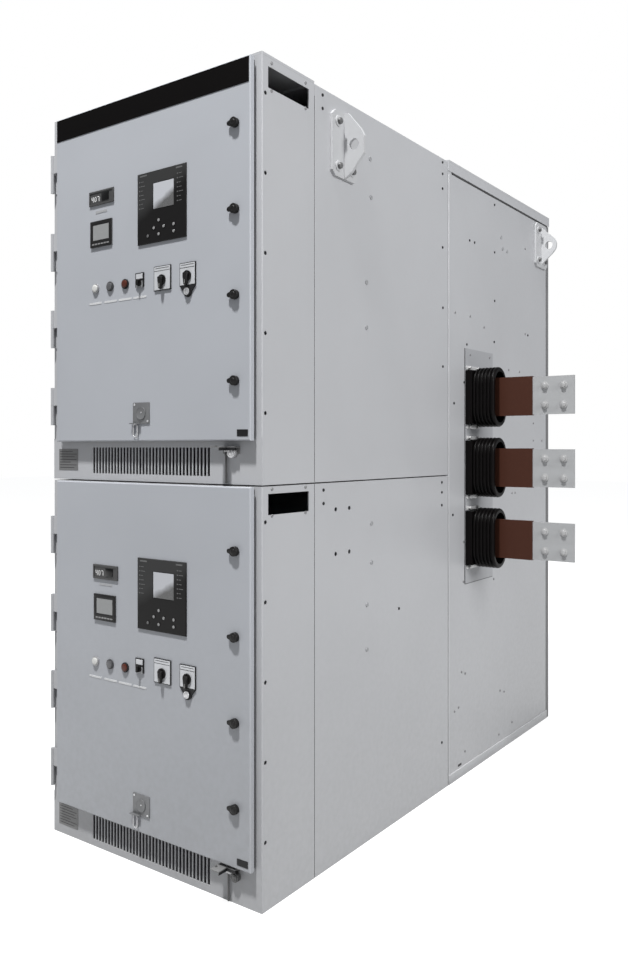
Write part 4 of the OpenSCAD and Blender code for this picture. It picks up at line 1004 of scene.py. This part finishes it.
bolt_dark = brushed("bolt_dark", (0.13, 0.13, 0.132), 0.4, 0.4, 0.3)
lug_bolts = [side_bolt(y + dy, LUG_Z + dz, side, SIDE_X + LUG_BASE) for y in LUG_Y for side in (-1, 1)
             for dy in (-LUG_BOLT_Y, LUG_BOLT_Y) for dz in (-LUG_BOLT_Z, LUG_BOLT_Z)]
washers, bolt_heads = zip(*lug_bolts)
hand_over(joined(washers), "lug_washers", lug_paint, "cabinet", "cabinet_grey")
hand_over(joined(bolt_heads), "lug_bolt_heads", bolt_dark, "cabinet", "cabinet_grey")

# Bus bushings
# Three ribbed bushings cast in black epoxy carry the bus bars through the side. A bright zinc-plated
# bar with two bolts clamps each flange block to the mounting plate, above and below it.
BUS_Y = FRAME_Y + 1.340
BUS_Z = (0.943, 1.224, 1.504)
PLATE_FACE = SIDE_X + MOUNTING_T
CLAMP_Y, CLAMP_Z = (-0.046, 0.030), 0.118
CLAMP_BAR = (0.060, 0.044, 0.0075, 0.006)

boot_epoxy = moulded("bushing_epoxy", (0.003, 0.0025, 0.0025), 0.35, 0.2, depth=0.0002, specular=0.08)
bolt_steel = brushed("bolt_steel", (0.42, 0.42, 0.42), 0.35, 0.3, 0.4)
clamp_zinc = brushed("clamp_zinc", (0.6, 0.6, 0.6), 0.35, 0.3, 0.3)
coat_node("bus_bushings", boot_epoxy)
front, back, half, thick = CLAMP_BAR
clamps = [box((PLATE_FACE, BUS_Y - front, z + dz - half), (PLATE_FACE + thick, BUS_Y + back, z + dz + half))
          for z in BUS_Z for dz in (-CLAMP_Z, CLAMP_Z)]
for clamp in clamps:
    round_off(clamp, 0.0015)
hand_over(joined(clamps), "bushing_clamps", clamp_zinc)
clamp_bolts = [part for z in BUS_Z for dy in CLAMP_Y for dz in (-CLAMP_Z, CLAMP_Z)
               for part in side_bolt(BUS_Y + dy, z + dz, 1, PLATE_FACE + thick, washer=0.0070,
                                     across=0.0066, head=0.006)]
hand_over(joined(clamp_bolts), "bushing_bolts", bolt_steel)

# Bus bars
# Each bar is silver-plated copper in a brown fluidised epoxy sleeve. Its bare end has four bolt holes,
# and the bolts for the next section's bar stand in them with their washers and nuts.
BOLT_X = SIDE_X + 0.422 - 0.078
BOLT_HALF = 0.037

bar_silver = brushed("silver_plate", (0.385, 0.39, 0.395), 0.4, 0.2, 0.25, depth=0.00005,
                     stretch=(0.25, 1, 2))
sleeve_brown = moulded("brown_epoxy", (0.052, 0.0195, 0.0125), 0.4, 0.1, depth=0.0003, specular=0.12)
coat_node("bus_bars", bar_silver)
coat_node("bus_sleeves", sleeve_brown)


def bar_bolt(x, z):
    """A bolt through a bar along Y, with a washer at each face, a hex head and a nut."""
    return joined([
        round_off(disc((x, BUS_Y + low, z), radius, high - low, sides), 0.0008, 2, 30)
        for radius, low, high, sides in (
            (0.0068, -0.016, 0.016, 20), (0.015, -0.008, -0.0052, 28), (0.015, 0.0052, 0.008, 28),
            (0.0105, -0.0165, -0.008, 6), (0.0105, 0.008, 0.0165, 6))])


bar_bolts = [bar_bolt(BOLT_X + dx, z + dz)
             for z in BUS_Z for dx in (-BOLT_HALF, BOLT_HALF) for dz in (-BOLT_HALF, BOLT_HALF)]
hand_over(joined(bar_bolts), "bar_bolts", bolt_steel)

# Floor and light
# A plain pale floor and sky, one soft lamp high at the front, and broad weak ones at the right and at the
# left rear. Both show white to the camera and light the section dimly, and the floor is white in
# reflections too.
KEY_FROM, KEY_AWAY = Vector((0.12, -1.0, 2.18)).normalized(), 9.0
LOOK_AT = Vector((0.1, -0.4, 1.25))


def pale_surface(name, tone, lit):
    """A floor that shows near white to the eye and in reflections, with its shadows kept."""
    made = bpy.data.materials.new(name)
    made.use_nodes = True
    tree = made.node_tree
    tree.nodes.remove(tree.nodes["Principled BSDF"])
    matt = node_in(tree, "BsdfDiffuse", Color=tone)
    bright = node_in(tree, "Emission", Strength=lit)
    both, choose = node_in(tree, "AddShader"), node_in(tree, "MixShader")
    ray = node_in(tree, "LightPath").outputs
    seen = maths(tree, "MAXIMUM", ray["Is Camera Ray"], ray["Is Glossy Ray"])
    feed(tree, maths(tree, "MAXIMUM", seen, ray["Is Transmission Ray"]), choose.inputs[0])
    feed(tree, matt.outputs[0], both.inputs[0], choose.inputs[1])
    feed(tree, bright.outputs[0], both.inputs[1])
    feed(tree, both.outputs[0], choose.inputs[2])
    feed(tree, choose.outputs[0], tree.nodes["Material Output"].inputs["Surface"])
    return made


unselect()
bpy.ops.mesh.primitive_plane_add(size=60, location=(0, 0, -0.0005))
floor = bpy.context.object
floor.name = "pale_floor"
floor.data.materials.append(pale_surface("pale_floor", (0.33, 0.33, 0.33, 1), 0.88))

world = bpy.data.worlds.new("pale_room")
bpy.context.scene.world = world
world.use_nodes = True
sky = world.node_tree
sky.nodes.clear()
ray = node_in(sky, "LightPath").outputs
plain = node_in(sky, "Background", Color=(0.93, 0.96, 1.0, 1), Strength=0.32)
white = node_in(sky, "Background", Color=(1, 1, 1, 1), Strength=1.0)
seen = maths(sky, "MAXIMUM", ray["Is Camera Ray"], ray["Is Transmission Ray"])
mixed = node_in(sky, "MixShader")
for number, source in enumerate((seen, plain.outputs[0], white.outputs[0])):
    feed(sky, source, mixed.inputs[number])
node_in(sky, "OutputWorld", Surface=mixed.outputs[0])


def soft_lamp(name, place, target, size, power):
    bpy.ops.object.light_add(type="AREA", location=place)
    lamp = bpy.context.object
    lamp.name = name
    lamp.data.shape = "DISK"
    lamp.data.size = size
    lamp.data.energy = power
    lamp.rotation_euler = (Vector(place) - Vector(target)).to_track_quat("Z", "Y").to_euler()


soft_lamp("key_lamp", LOOK_AT + KEY_FROM * KEY_AWAY, LOOK_AT, 0.7, 1150)
soft_lamp("rear_lamp", (-4.6, 4.6, 3.4), (-0.2, 0.4, 1.2), 2.4, 330)
soft_lamp("side_lamp", (5.6, -0.7, 3.5), (0.457, 0.0, 1.8), 2.4, 212)

bpy.context.scene.view_settings.view_transform = "Standard"
